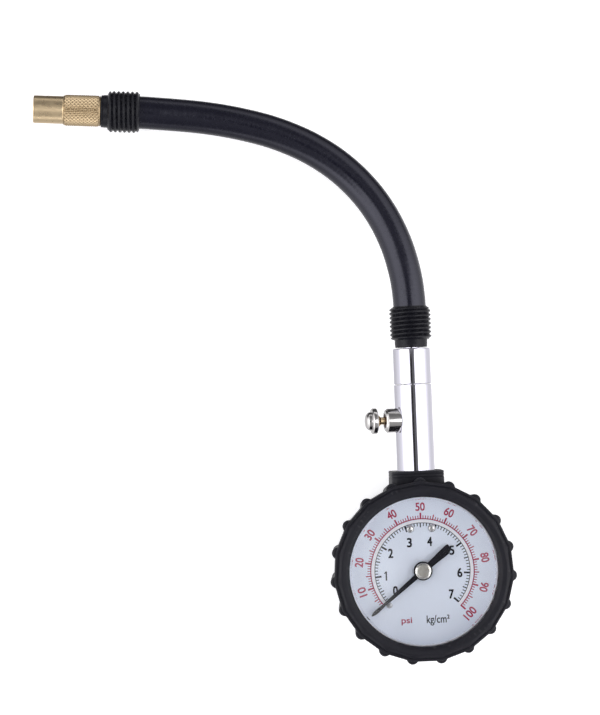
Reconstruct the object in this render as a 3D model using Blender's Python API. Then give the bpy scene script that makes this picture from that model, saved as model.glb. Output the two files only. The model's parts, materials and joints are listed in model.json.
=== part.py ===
"""Dial tyre pressure gauge with a flexible hose, a screw-on brass chuck and a bleed valve.

The gauge lies on its back.  The origin is the centre of the boot's flat back, under the
centre of the dial.  +Z points out of the dial and +Y runs along the metal stem.
Lengths are in millimetres here, and MM turns them into Blender's metres.
"""
import math

import bmesh
import bpy
from mathutils import Matrix, Vector
from mathutils.geometry import convex_hull_2d

MM = 0.001
GAP = 0.3                      # space left between pieces that touch

# Rubber boot
WINDOW_R = 24.8                # round opening in front of the dial
BOOT_R = 29.7                  # outside, between the knobs, at the rim
BOOT_BACK_R = 27.9             # the same at the back, because the wall tapers
BOOT_TAPER_Z = (1.2, 25.0)
BOOT_H = 30.0
BOOT_FLOOR = 2.0
BOOT_CAVITY_R = 27.05          # round the bezel
BOOT_CAVITY_BACK_R = 26.3      # round the case
BOOT_LIP_Z = 28.4              # underside of the lip that holds the gauge in
KNOB_PLACES = 19               # equal places round the rim; the first one is at the neck
KNOB_R = 1.95
KNOB_PROUD = 1.45
KNOB_Z = (1.4, 27.4)
KNOB_SIDES = 8
NECK_HALF_W = 8.9
NECK_Y = 33.2
NECK_Z = (3.0, 21.0)

# Gauge case, bezel and lens
CASE_R = 26.0
CASE_WALL = 0.8
CASE_Z = (2.3, 24.6)
CASE_FLOOR_Z = 3.3
BEZEL_R = 26.75
BEZEL_SKIRT_Z = 22.0
BEZEL_TOP = 28.1
LENS_Z = (25.7, 27.4)
LENS_R = 25.9

# Dial and pointer
DIAL_R = 24.9
DIAL_Z = (21.1, 21.6)
ZERO_ANGLE = 226.0             # clockwise from +Y
REST_ANGLE = 230.9             # where the pointer lies against its stop pin
STOP_PIN_R = 15.8
DIAL_SCREW = (3.6, 13.9)
DIAL_RING_R = (24.55, 24.85)   # white ring between the dial and the lens
POINTER_Z = (23.2, 23.7)
POINTER_TIP_R = 22.7
POINTER_TAIL_R = 12.7
POINTER_HUB_R = 3.15

# Movement
MODULE = 0.28
PINION_TEETH = 10
SECTOR_TEETH = 70              # what a full wheel of the sector's size would have
SECTOR_CUT_TEETH = 10          # how many the sector really has
SECTOR_DIRECTION = 155.0       # from the pinion to the sector's pivot, degrees
ADDENDUM = 0.25
DEDENDUM = 0.35
TOOTH_ROOT_HALF = 0.22
TOOTH_TIP_HALF = 0.07
SECTOR_TAIL_ANGLE = 136.0      # from the sector's pivot to the link's pin
SECTOR_TAIL_R = 5.0
BACK_PLATE_Z = (16.3, 17.1)
LINK_Z = (17.4, 18.0)
SECTOR_Z = (18.4, 19.2)
PINION_Z = (18.1, 19.5)
FRONT_PLATE_Z = (20.0, 20.8)
PILLARS = {"a": (5.5, 9.5), "b": (2.5, -7.0), "c": (-9.0, 13.0)}
MOVEMENT_SCREW = (3.0, 13.0)
HAIRSPRING_R = (1.25, 4.4)
HAIRSPRING_TURNS = 3
HAIRSPRING_STRIP = (0.2, 0.6)  # thickness and height
HAIRSPRING_LOW_Z = 17.35

# Bourdon tube and its socket
STEM_Z = 12.0
TUBE_MEAN_R = 18.0
TUBE_ARC = (72.5, -171.5)      # from the socket clockwise to the tip, degrees
TIP_ANGLE = 185.0
TIP_CENTRE = (4.3, -5.2)       # point that the tip swings about as the tube opens
TUBE_SECTION = (1.3, 5.0)      # thickness and height of the flattened tube
TUBE_WALL = 0.25
TUBE_MID_Z = 10.0
SOCKET_BLOCK = ((-5.0, 10.0, 4.4), (5.0, 24.3, 16.0))
SHANK_R = 3.9
SHANK_END_Y = 40.0
CASE_SCREW_Y = (13.5, 20.5)

# Coil springs
SPRING_WIRE_R = 0.2
COIL_STEPS = 8                 # straight pieces in each turn

# Stem: main tube and hose connector
STEM_R = 6.35
STEM_Y = (27.6, 62.15)
STEM_BORE_R = 3.2
STEM_SHANK_END_Y = 40.4        # end of the wide bore round the socket's shank
SPIGOT_BORE = (4.3, 55.6)      # radius and inner end of the bore round the connector's spigot
CONNECTOR_R = 6.28
CONNECTOR_Y = (62.45, 74.5)
CONNECTOR_BORE_R = 1.5
SPIGOT_R = 3.9
SPIGOT_START_Y = 56.2
SEAL_GROOVE_R = 3.2
SEAL_GROOVE_Y = (59.4, 60.9)
HOSE_BARB_R = (2.7, 3.2)       # neck and lip of the connector's barb in the hose
HOSE_BARB_LIP_Y = 77.9

# Bleed valve: distances t run from the stem's axis outwards
BLEED_Y = 50.35
BLEED_TILT = 6.5               # degrees towards the dial side
BLEED_BODY_R = 4.1
BLEED_SHANK_R = 2.6
BLEED_SEAT_T = (3.9, 5.2)      # shank in the stem's wall
BLEED_FACE_T = 10.0
BLEED_FACE_CHAMFER = 0.6
BLEED_BORE_R = 1.45
BLEED_STEM_R = 1.15
BLEED_FOOT_R = 2.1
BLEED_FOOT_T = (2.2, 3.0)
BLEED_SPRING_T = (-2.4, 1.9)
BLEED_FLANGE_R = 4.4
BLEED_FLANGE_T = (12.8, 14.55)
BLEED_HEAD_R = 3.1
BLEED_HEAD_T = 16.85

# Hose and collars
HOSE_R = 5.5
COLLAR_R = 6.95
COLLAR_NECK_R = 5.45
COLLAR_BORE_R = 5.8
COLLAR_MOUTH_R = 3.5           # hole at the neck's end
GAUGE_COLLAR_Y = (74.8, 77.45, 88.3)  # neck, thread start, thread end
HOSE_START_Y = 80.2

# Chuck: distances t run from the collar's face towards the open mouth
CHUCK_FACE = (-101.25, 158.64, 7.15)
CHUCK_DIRECTION = 176.2        # degrees from +X, level
HOSE_END_T = -8.0
CHUCK_COLLAR_T = (-12.6, -1.9, 0.0)
KNURL_R = 5.2
KNURL_T = (0.5, 13.05)
NOSE_R = 4.7
NOSE_END_T = 23.2
NOSE_BORE_R = 3.95
NOSE_FLOOR_T = 12.2
TAIL_R = (3.6, 4.3)            # bore and outside of the chuck's tail
TAIL_START_T = 0.3
TAIL_BORE_END_T = 6.3
RING_GROOVE = (4.2, 2.6, 3.6)  # radius, start and end
CHECK_CHAMBER_R = 2.6
CHECK_SEAT = (1.3, 11.0)       # radius of the hole, and where the chamber ends
BARB_BORE_R = 1.0
BARB_R = (2.6, 3.2)            # neck and lip
BARB_LIP_T = -5.6
BARB_HEAD = (3.3, 3.8, 4.8)    # radius, start and end

# The hose's route, from the gauge's collar to the chuck's collar.
HOSE_ROUTE = [
    (0.0, HOSE_START_Y, 12.0), (0.0, 84.5, 12.0), (0.0, 88.9, 11.9), (-0.25, 93.6, 11.7),
    (-0.77, 98.36, 11.3), (-1.71, 103.3, 10.7), (-2.96, 108.3, 9.9), (-4.74, 113.41, 9.1),
    (-7.02, 118.58, 8.2), (-9.95, 123.77, 7.4), (-13.58, 128.87, 6.7), (-18.15, 133.96, 6.2),
    (-23.52, 138.71, 5.95), (-29.57, 142.9, 5.85), (-35.94, 146.36, 5.8), (-43.79, 149.67, 5.8),
    (-52.06, 152.22, 5.85), (-60.57, 154.22, 6.0), (-69.03, 155.67, 6.25), (-77.46, 156.68, 6.7),
    (-82.4, 157.18, 7.0), (-87.6, 157.7, 7.13), (-93.27, 158.11, 7.15),
]
HOSE_POINTS = 32               # points along the smooth curve through the route


def clear_scene():
    for obj in list(bpy.data.objects):
        bpy.data.objects.remove(obj, do_unlink=True)


def look(name, colour, roughness, metallic=0.0, alpha=1.0):
    material = bpy.data.materials.new(name)
    material.use_nodes = True
    shader = material.node_tree.nodes["Principled BSDF"]
    shader.inputs["Base Color"].default_value = (*colour, 1.0)
    shader.inputs["Roughness"].default_value = roughness
    shader.inputs["Metallic"].default_value = metallic
    shader.inputs["Alpha"].default_value = alpha
    material.diffuse_color = (*colour, alpha)
    return material


def polar(radius, degrees, centre=(0.0, 0.0)):
    angle = math.radians(degrees)
    return (centre[0] + radius * math.cos(angle), centre[1] + radius * math.sin(angle))


def clock(radius, degrees):
    """A point at an angle measured clockwise from +Y, as on the dial."""
    return polar(radius, 90.0 - degrees)


def at(x, y):
    return Matrix.Translation(Vector((x, y, 0.0)) * MM)


def along(direction, point):
    """A frame whose local Z runs along a direction from a point."""
    turn = Vector(direction).normalized().to_track_quat("Z", "X")
    return Matrix.Translation(Vector(point) * MM) @ turn.to_matrix().to_4x4()


def add_object(name, bm, place, material, sharp=35.0):
    bmesh.ops.recalc_face_normals(bm, faces=bm.faces)
    bmesh.ops.scale(bm, vec=(MM, MM, MM), verts=bm.verts)
    mesh = bpy.data.meshes.new(name)
    bm.to_mesh(mesh)
    bm.free()
    mesh.shade_smooth()
    mesh.set_sharp_from_angle(angle=math.radians(sharp))
    if material:
        mesh.materials.append(material)
    obj = bpy.data.objects.new(name, mesh)
    bpy.context.scene.collection.objects.link(obj)
    obj.matrix_world = place
    return obj


def hide(obj):
    obj.hide_render = True
    obj.display_type = "WIRE"
    return obj


def boolean(obj, tool, operation):
    modifier = obj.modifiers.new(f"{operation.lower()}_{tool.name}", "BOOLEAN")
    modifier.operation = operation
    modifier.solver = "EXACT"
    modifier.object = hide(tool)


def cut(obj, *tools):
    for tool in tools:
        boolean(obj, tool, "DIFFERENCE")


def join(obj, *tools):
    for tool in tools:
        boolean(obj, tool, "UNION")


def turned(name, profile, place, material=None, segments=20):
    """A lathe-turned solid: (radius, height) points, closed on the axis or into a ring."""
    bm = bmesh.new()
    corners = [bm.verts.new((radius, 0.0, height)) for radius, height in profile]
    for first, second in zip(corners, corners[1:]):
        bm.edges.new((first, second))
    if profile[0][0] > 0.0:
        bm.edges.new((corners[-1], corners[0]))
    bmesh.ops.spin(bm, geom=bm.verts[:] + bm.edges[:], cent=(0, 0, 0), axis=(0, 0, 1),
                   angle=math.tau, steps=segments, use_merge=True)
    bmesh.ops.remove_doubles(bm, verts=bm.verts, dist=1e-4)
    return add_object(name, bm, place, material)


def rod(name, radius, start, end, place, material=None, segments=12):
    profile = [(0.0, start), (radius, start), (radius, end), (0.0, end)]
    return turned(name, profile, place, material, segments)


def ring(name, radii, heights, place, material=None, segments=20):
    (inner, outer), (low, high) = radii, heights
    profile = [(inner, low), (outer, low), (outer, high), (inner, high)]
    return turned(name, profile, place, material, segments)


def extruded(name, outline, heights, place, material=None):
    """A flat shape with straight walls, from an outline in the local XY plane."""
    bm = bmesh.new()
    face = bm.faces.new([bm.verts.new((x, y, heights[0])) for x, y in outline])
    grown = bmesh.ops.extrude_face_region(bm, geom=[face])
    top = [item for item in grown["geom"] if isinstance(item, bmesh.types.BMVert)]
    bmesh.ops.translate(bm, vec=(0, 0, heights[1] - heights[0]), verts=top)
    return add_object(name, bm, place, material)


def box(name, low, high, place, material=None, bevel=0.0):
    bm = bmesh.new()
    bmesh.ops.create_cube(bm, size=1.0)
    low, high = Vector(low), Vector(high)
    bmesh.ops.scale(bm, vec=high - low, verts=bm.verts)
    bmesh.ops.translate(bm, vec=(low + high) / 2, verts=bm.verts)
    if bevel:
        bmesh.ops.bevel(bm, geom=bm.edges[:], offset=bevel, segments=2, profile=0.5,
                        affect="EDGES")
    return add_object(name, bm, place, material)


def hull_of_circles(circles, steps=12):
    """The outline of a band stretched round circles given as (centre, radius)."""
    points = [Vector(polar(radius, 360.0 * step / steps, centre))
              for centre, radius in circles for step in range(steps)]
    return [tuple(points[index]) for index in convex_hull_2d(points)]


def wire(name, points, radius, place, material, resolution=0):
    """A round wire or tube along points, with flat ends."""
    curve = bpy.data.curves.new(name, "CURVE")
    curve.dimensions = "3D"
    curve.bevel_depth = radius * MM
    curve.bevel_resolution = resolution
    curve.use_fill_caps = True
    spline = curve.splines.new("POLY")
    spline.points.add(len(points) - 1)
    for spot, point in zip(spline.points, points):
        spot.co = (*(Vector(point) * MM), 1.0)
    spline.use_smooth = True
    curve.materials.append(material)
    obj = bpy.data.objects.new(name, curve)
    bpy.context.scene.collection.objects.link(obj)
    obj.matrix_world = place
    return obj


def coil(name, radius, ends, turns, place, material):
    start, end = ends
    points = []
    for step in range(turns * COIL_STEPS + 1):
        share = step / (turns * COIL_STEPS)
        x, y = polar(radius, 360.0 * turns * share)
        points.append((x, y, start + (end - start) * share))
    return wire(name, points, SPRING_WIRE_R, place, material)


def smooth_curve(route, count):
    """Points at equal parameter steps on the Catmull-Rom curve through a route."""
    knots = [Vector(point) for point in route]
    knots = [2 * knots[0] - knots[1]] + knots + [2 * knots[-1] - knots[-2]]
    spans = len(route) - 1
    points = []
    for step in range(count):
        position = spans * step / (count - 1)
        span = min(int(position), spans - 1)
        u = position - span
        a, b, c, d = knots[span:span + 4]
        points.append(0.5 * (2 * b + (c - a) * u + (2 * a - 5 * b + 4 * c - d) * u ** 2
                             + (3 * b - a - 3 * c + d) * u ** 3))
    return points


def boot_wall_r(z):
    low, high = BOOT_TAPER_Z
    share = min(max((z - low) / (high - low), 0.0), 1.0)
    return BOOT_BACK_R + (BOOT_R - BOOT_BACK_R) * share


def build_boot(rubber):
    boot = turned("rubber_boot", [
        (0.0, 0.0), (BOOT_BACK_R - 1.2, 0.0), (BOOT_BACK_R, BOOT_TAPER_Z[0]),
        (BOOT_R, BOOT_TAPER_Z[1]), (BOOT_R, BOOT_H - 1.8), (BOOT_R - 0.5, BOOT_H - 0.6),
        (BOOT_R - 1.4, BOOT_H), (0.0, BOOT_H),
    ], at(0, 0), rubber, KNOB_PLACES * 3)

    knobs = bmesh.new()
    low, high = KNOB_Z
    for place in range(1, KNOB_PLACES):
        x, y = clock(BOOT_R + KNOB_PROUD - KNOB_R, 360.0 * place / KNOB_PLACES)
        bar = (Matrix.Translation((x, y, (low + high) / 2))
               @ Matrix.Rotation(math.pi / KNOB_SIDES, 4, "Z"))
        bmesh.ops.create_cone(knobs, cap_ends=True, segments=KNOB_SIDES, radius1=KNOB_R,
                              radius2=KNOB_R, depth=high - low, matrix=bar)
    for vert in knobs.verts:
        taper = boot_wall_r(vert.co.z) / BOOT_R
        vert.co.x *= taper
        vert.co.y *= taper
    knobs = add_object("boot_knobs", knobs, at(0, 0), None)
    neck = box("boot_neck", (-NECK_HALF_W, BOOT_R - 4.0, NECK_Z[0]),
               (NECK_HALF_W, NECK_Y, NECK_Z[1]), at(0, 0), bevel=0.8)
    join(boot, knobs, neck)

    step_z = BEZEL_SKIRT_Z - 0.4
    cavity = turned("boot_cavity", [
        (0.0, BOOT_FLOOR), (BOOT_CAVITY_BACK_R, BOOT_FLOOR), (BOOT_CAVITY_BACK_R, step_z - 0.3),
        (BOOT_CAVITY_R, step_z), (BOOT_CAVITY_R, BOOT_LIP_Z),
        (WINDOW_R, BOOT_LIP_Z), (WINDOW_R, BOOT_LIP_Z + 0.5), (WINDOW_R + 1.2, BOOT_H),
        (WINDOW_R + 1.2, BOOT_H + 1.0), (0.0, BOOT_H + 1.0),
    ], at(0, 0), None, 40)
    stem_hole = rod("boot_stem_hole", STEM_R + GAP, 24.0, NECK_Y + 2.0,
                    along((0, 1, 0), (0, 0, STEM_Z)), None, 20)
    cut(boot, cavity, stem_hole)


def build_case(steel):
    low, high = CASE_Z
    case = turned("gauge_case", [
        (0.0, CASE_FLOOR_Z), (CASE_R - 3.2, CASE_FLOOR_Z), (CASE_R - 2.6, low), (CASE_R, low),
        (CASE_R, high), (CASE_R - CASE_WALL, high), (CASE_R - CASE_WALL, CASE_FLOOR_Z + CASE_WALL),
        (0.0, CASE_FLOOR_Z + CASE_WALL),
    ], at(0, 0), steel, 40)
    shank_hole = rod("case_shank_hole", SHANK_R + GAP, 24.0, 28.0,
                     along((0, 1, 0), (0, 0, STEM_Z)))
    cut(case, shank_hole)
    for index, y in enumerate(CASE_SCREW_Y):
        cut(case, rod(f"case_screw_hole_{index}", 1.3, 2.0, 6.0, at(0, y), None, 12))
        turned("case_screw_" + "ab"[index], [
            (0.0, CASE_FLOOR_Z - 0.9), (2.0, CASE_FLOOR_Z - 0.9), (2.0, CASE_FLOOR_Z - GAP),
            (1.0, CASE_FLOOR_Z - GAP), (1.0, 8.0), (0.0, 8.0),
        ], at(0, y), look(f"case_screw_{index}", (0.55, 0.55, 0.57), 0.35, 1.0), 12)


def build_front(steel, glass, rubber):
    inner_r = WINDOW_R + 0.1
    turned("bezel_ring", [
        (BEZEL_R - 0.45, BEZEL_SKIRT_Z), (BEZEL_R, BEZEL_SKIRT_Z), (BEZEL_R, BEZEL_TOP),
        (inner_r, BEZEL_TOP), (inner_r, BEZEL_TOP - 0.4), (BEZEL_R - 0.45, BEZEL_TOP - 0.4),
    ], at(0, 0), steel, 40)
    turned("lens", [
        (0.0, LENS_Z[0]), (LENS_R, LENS_Z[0]), (LENS_R, LENS_Z[1]), (0.0, LENS_Z[1]),
    ], at(0, 0), glass, 40)
    ring("lens_gasket", (LENS_R - 0.8, LENS_R), (CASE_Z[1] + 0.2, LENS_Z[0] - 0.2), at(0, 0),
         rubber, 32)


def build_dial(white, pin_look, screw_look):
    dial = rod("dial_plate", DIAL_R, *DIAL_Z, at(0, 0), white, 48)
    ring("dial_ring", DIAL_RING_R, (DIAL_Z[1] + GAP, LENS_Z[0] - GAP), at(0, 0), white, 40)
    cut(dial, rod("dial_centre_hole", 1.2, 20.0, 23.0, at(0, 0), None, 12))
    stop_x, stop_y = clock(STOP_PIN_R, ZERO_ANGLE)
    cut(dial, rod("dial_pin_hole", 0.8, 20.0, 23.0, at(stop_x, stop_y), None, 10))
    rod("zero_stop_pin", 0.5, DIAL_Z[0] - 0.2, POINTER_Z[1] + 0.3, at(stop_x, stop_y), pin_look, 12)
    for side, name in ((-1, "left"), (1, "right")):
        spot = at(side * DIAL_SCREW[0], DIAL_SCREW[1])
        cut(dial, rod(f"dial_screw_hole_{name}", 0.9, 20.0, 23.0, spot, None, 10))
        base = DIAL_Z[1] + 0.2
        turned(f"dial_screw_{name}", [
            (0.0, 19.6), (0.6, 19.6), (0.6, base), (1.25, base), (1.15, base + 0.4),
            (0.7, base + 0.75), (0.0, base + 0.85),
        ], spot, screw_look, 12)


def build_pointer(black, silver):
    """The needle is modelled pointing along +Y of its own frame, then turned to rest."""
    place = at(0, 0) @ Matrix.Rotation(math.radians(-REST_ANGLE), 4, "Z")
    hub_upper_right, hub_upper_left, hub_lower_left, hub_lower_right = (
        [polar(POINTER_HUB_R, angle) for angle in angles]
        for angles in ((15, 40, 65), (115, 140, 165), (200, 225, 250), (290, 315, 340)))
    tip = [(0.5, POINTER_TIP_R - 2.0), (0.0, POINTER_TIP_R), (-0.5, POINTER_TIP_R - 2.0)]
    tail = [(-0.85, -4.0), (-1.4, -POINTER_TAIL_R + 0.8), (1.4, -POINTER_TAIL_R), (0.85, -4.0)]
    outline = (hub_upper_right + [(0.75, 4.0)] + tip + [(-0.75, 4.0)] + hub_upper_left
               + hub_lower_left + tail + hub_lower_right)
    needle = extruded("pointer_needle", outline, POINTER_Z, place, black)
    join(needle, rod("pointer_boss", 2.0, POINTER_Z[0] - 0.7, POINTER_Z[0] + 0.2, place, None, 16))
    cut(needle, rod("pointer_hole", 0.8, 20.0, 25.0, place, None, 12))
    top = POINTER_Z[1] + GAP
    turned("pointer_hub_cap", [
        (0.0, top), (2.7, top), (2.7, top + 0.45), (2.3, top + 0.8), (1.9, top + 0.7),
        (0.0, top + 0.7),
    ], place, silver, 20)


def tooth_ring(pitch_r, teeth, first, count):
    """Points of straight-sided teeth on a wheel, counter-clockwise from one tooth."""
    points = []
    root_r, tip_r = pitch_r - DEDENDUM, pitch_r + ADDENDUM
    for index in range(count):
        centre = first + 360.0 * index / teeth
        root = math.degrees(TOOTH_ROOT_HALF / root_r)
        tip = math.degrees(TOOTH_TIP_HALF / tip_r)
        points += [polar(root_r, centre - root), polar(tip_r, centre - tip),
                   polar(tip_r, centre + tip), polar(root_r, centre + root)]
    return points


def sector_pivot():
    return polar(MODULE * (PINION_TEETH + SECTOR_TEETH) / 2, SECTOR_DIRECTION)


def build_pinion(brass):
    first = SECTOR_DIRECTION + 180.0 / PINION_TEETH
    teeth = tooth_ring(MODULE * PINION_TEETH / 2, PINION_TEETH, first, PINION_TEETH)
    pinion = extruded("pinion_arbor", teeth, PINION_Z, at(0, 0), brass)
    shaft = turned("pinion_shaft", [
        (0.0, 15.6), (0.5, 15.6), (0.5, 17.3), (0.85, 17.3), (0.85, 18.0), (0.5, 18.0),
        (0.5, POINTER_Z[1] - 0.1), (0.0, POINTER_Z[1] - 0.1),
    ], at(0, 0), None, 12)
    join(pinion, shaft)


def build_hairspring(bronze):
    """A flat spiral from the arbor's collet out to the nearest pillar."""
    pillar_x, pillar_y = PILLARS["b"]
    anchor_angle = math.degrees(math.atan2(pillar_y, pillar_x))
    steps = HAIRSPRING_TURNS * 14
    thickness, height = HAIRSPRING_STRIP
    path = []
    for step in range(steps + 1):
        share = step / steps
        radius = HAIRSPRING_R[0] + (HAIRSPRING_R[1] - HAIRSPRING_R[0]) * share
        path.append((radius, anchor_angle - 360.0 * HAIRSPRING_TURNS * (1 - share)))
    path.append((6.0, anchor_angle + 8.0))
    bm = bmesh.new()
    rows = [[bm.verts.new((*polar(radius + side * thickness / 2, angle), HAIRSPRING_LOW_Z))
             for side in (-1, 1)] for radius, angle in path]
    faces = [bm.faces.new((a[0], a[1], b[1], b[0])) for a, b in zip(rows, rows[1:])]
    grown = bmesh.ops.extrude_face_region(bm, geom=faces)
    top = [item for item in grown["geom"] if isinstance(item, bmesh.types.BMVert)]
    bmesh.ops.translate(bm, vec=(0, 0, height), verts=top)
    add_object("hairspring", bm, at(0, 0), bronze)


def build_sector(brass, steel):
    pivot = sector_pivot()
    pitch_r = MODULE * SECTOR_TEETH / 2
    contact = SECTOR_DIRECTION - 180.0
    pitch = 360.0 / SECTOR_TEETH
    first = contact - pitch * (SECTOR_CUT_TEETH - 2)
    teeth = tooth_ring(pitch_r, SECTOR_TEETH, first, SECTOR_CUT_TEETH)
    hub_r = 2.0
    upper_hub = [polar(hub_r, angle) for angle in range(10, 111, 25)]
    lower_hub = [polar(hub_r, angle) for angle in range(165, 276, 22)]
    tail_end = polar(SECTOR_TAIL_R, SECTOR_TAIL_ANGLE)
    tail = [polar(0.95, SECTOR_TAIL_ANGLE + angle, tail_end) for angle in range(-90, 91, 30)]
    outline = teeth + upper_hub + tail + lower_hub
    place = at(*pivot)
    sector = extruded("sector_gear", outline, SECTOR_Z, place, brass)
    tail_place = at(pivot[0] + tail_end[0], pivot[1] + tail_end[1])
    join(sector, rod("sector_pin", 0.45, LINK_Z[0] - 0.1, SECTOR_Z[0] + 0.3, tail_place, None, 12))
    cut(sector, rod("sector_hole", 1.0, 18.0, 20.0, place, None, 12))
    turned("sector_arbor", [
        (0.0, 15.9), (0.55, 15.9), (0.55, BACK_PLATE_Z[1] + GAP), (1.4, BACK_PLATE_Z[1] + GAP),
        (1.4, SECTOR_Z[0] - GAP), (0.7, SECTOR_Z[0] - GAP), (0.7, FRONT_PLATE_Z[0] - GAP),
        (0.55, FRONT_PLATE_Z[0] - GAP), (0.55, FRONT_PLATE_Z[1] + 0.15),
        (0.0, FRONT_PLATE_Z[1] + 0.15),
    ], place, steel, 12)


def link_ends():
    pivot = sector_pivot()
    tail = polar(SECTOR_TAIL_R, SECTOR_TAIL_ANGLE, pivot)
    return tail, polar(TUBE_MEAN_R, TIP_ANGLE)


def build_link(brass):
    tail, tip = link_ends()
    reach = Vector(tip) - Vector(tail)
    place = at(*tail) @ Matrix.Rotation(math.atan2(reach.y, reach.x), 4, "Z")
    outline = hull_of_circles([((0, 0), 1.25), ((reach.length, 0), 1.5)], 14)
    bar = extruded("link_bar", outline, LINK_Z, place, brass)
    tip_place = place @ at(reach.length, 0)
    cut(bar, rod("link_hole_tail", 0.75, 17.0, 19.0, place, None, 12),
        rod("link_hole_tip", 0.85, 17.0, 19.0, tip_place, None, 12))


def build_plates(brass, steel):
    pivot = sector_pivot()
    pillars = [(spot, 1.7) for spot in PILLARS.values()]
    screws = [((side * MOVEMENT_SCREW[0], MOVEMENT_SCREW[1]), 2.3) for side in (-1, 1)]
    dial_screws = [((side * DIAL_SCREW[0], DIAL_SCREW[1]), 1.8) for side in (-1, 1)]
    back = extruded("movement_back_plate", hull_of_circles([(pivot, 2.0)] + pillars + screws),
                    BACK_PLATE_Z, at(0, 0), brass)
    front = extruded("movement_front_plate",
                     hull_of_circles([(pivot, 2.0)] + pillars + dial_screws),
                     FRONT_PLATE_Z, at(0, 0), brass)
    for plate, (low, high) in ((back, BACK_PLATE_Z), (front, FRONT_PLATE_Z)):
        spots = [("arbor", (0, 0)), ("sector", pivot)]
        spots += [(f"pillar_{key}", spot) for key, spot in PILLARS.items()]
        for label, spot in spots:
            cut(plate, rod(f"{plate.name}_{label}", 0.85, low - 1, high + 1, at(*spot), None, 12))
    for side, name in ((-1, "a"), (1, "b")):
        spot = at(side * MOVEMENT_SCREW[0], MOVEMENT_SCREW[1])
        cut(back, rod(f"back_screw_hole_{name}", 1.2, 15.0, 18.0, spot, None, 12))
        turned(f"movement_screw_{name}", [
            (0.0, 12.5), (0.9, 12.5), (0.9, BACK_PLATE_Z[1] + 0.2), (1.7, BACK_PLATE_Z[1] + 0.2),
            (1.7, BACK_PLATE_Z[1] + 1.0), (0.0, BACK_PLATE_Z[1] + 1.0),
        ], spot, steel, 12)
        dial_spot = at(side * DIAL_SCREW[0], DIAL_SCREW[1])
        cut(front, rod(f"front_screw_hole_{name}", 0.9, 19.0, 22.0, dial_spot, None, 12))
    for key, spot in PILLARS.items():
        turned(f"movement_pillar_{key}", [
            (0.0, BACK_PLATE_Z[0] - 0.1), (0.55, BACK_PLATE_Z[0] - 0.1),
            (0.55, BACK_PLATE_Z[1] + GAP), (1.1, BACK_PLATE_Z[1] + GAP),
            (1.1, FRONT_PLATE_Z[0] - GAP), (0.55, FRONT_PLATE_Z[0] - GAP),
            (0.55, FRONT_PLATE_Z[1] + 0.1), (0.0, FRONT_PLATE_Z[1] + 0.1),
        ], at(*spot), look(f"pillar_{key}", (0.72, 0.58, 0.30), 0.35, 1.0), 12)


def oval_section(thickness, height):
    """A flattened tube's section: half thickness and half height at six corners."""
    t, h = thickness / 2, height / 2
    return [(t, -h * 0.72), (t, h * 0.72), (0, h), (-t, h * 0.72), (-t, -h * 0.72), (0, -h)]


def build_bourdon(bronze, brass):
    thickness, height = TUBE_SECTION
    outer = oval_section(thickness, height)
    inner = oval_section(thickness - 2 * TUBE_WALL, height - 2 * TUBE_WALL)
    steps = 26
    bm = bmesh.new()
    rows = []
    for step in range(steps + 1):
        angle = TUBE_ARC[0] + (TUBE_ARC[1] - TUBE_ARC[0]) * step / steps
        rows.append([[bm.verts.new((*polar(TUBE_MEAN_R + out, angle), TUBE_MID_Z + up))
                      for out, up in section] for section in (outer, inner)])
    sides = len(outer)
    for near, far in zip(rows, rows[1:]):
        for wall in (0, 1):
            for side in range(sides):
                after = (side + 1) % sides
                bm.faces.new((near[wall][side], near[wall][after], far[wall][after],
                              far[wall][side]))
    for end in (rows[0], rows[-1]):
        for side in range(sides):
            after = (side + 1) % sides
            bm.faces.new((end[0][side], end[0][after], end[1][after], end[1][side]))
    add_object("bourdon_tube", bm, at(0, 0), bronze)

    tip_x, tip_y = polar(TUBE_MEAN_R, TIP_ANGLE)
    swing = at(*TIP_CENTRE)
    shift = at(tip_x - TIP_CENTRE[0], tip_y - TIP_CENTRE[1])
    local = (tip_x - TIP_CENTRE[0], tip_y - TIP_CENTRE[1])
    tip = box("bourdon_tip", (local[0] - 1.2, local[1] - 0.75, TUBE_MID_Z - 2.9),
              (local[0] + 1.2, local[1] + 1.6, TUBE_MID_Z + 2.9), swing, brass, 0.3)
    pin = rod("bourdon_tip_pin", 0.45, TUBE_MID_Z + 2.0, LINK_Z[1] + 0.2, swing @ shift, None, 12)
    join(tip, pin)


def build_socket(brass, seal):
    stem_axis = along((0, 1, 0), (0, 0, STEM_Z))
    socket = box("gauge_socket", *SOCKET_BLOCK, at(0, 0), brass)
    join(socket, rod("socket_shank", SHANK_R, 20.0, SHANK_END_Y, stem_axis, None, 20))
    cut(socket, rod("socket_air_bore", 1.2, 15.0, SHANK_END_Y + 1.0, stem_axis, None, 12))
    side_bore = along((1, 0, 0), (0, 17.2, TUBE_MID_Z + 1.2))
    cut(socket, rod("socket_side_bore", 0.9, 0.0, 6.0, side_bore, None, 12))
    for side, name in ((-1, "a"), (1, "b")):
        cut(socket, rod(f"socket_screw_hole_{name}", 1.2, 12.2, 17.0,
                        at(side * MOVEMENT_SCREW[0], MOVEMENT_SCREW[1]), None, 12))
    for index, y in enumerate(CASE_SCREW_Y):
        cut(socket, rod(f"socket_case_hole_{index}", 1.3, 3.0, 8.3, at(0, y), None, 12))
    ring("socket_washer", (SHANK_R + GAP, STEM_R - 0.1), (CASE_R + GAP, STEM_Y[0] - GAP),
         stem_axis, seal, 16)


def bleed_frame():
    tilt = math.radians(BLEED_TILT)
    return along((-math.cos(tilt), 0.0, math.sin(tilt)), (0, BLEED_Y, STEM_Z))


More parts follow.
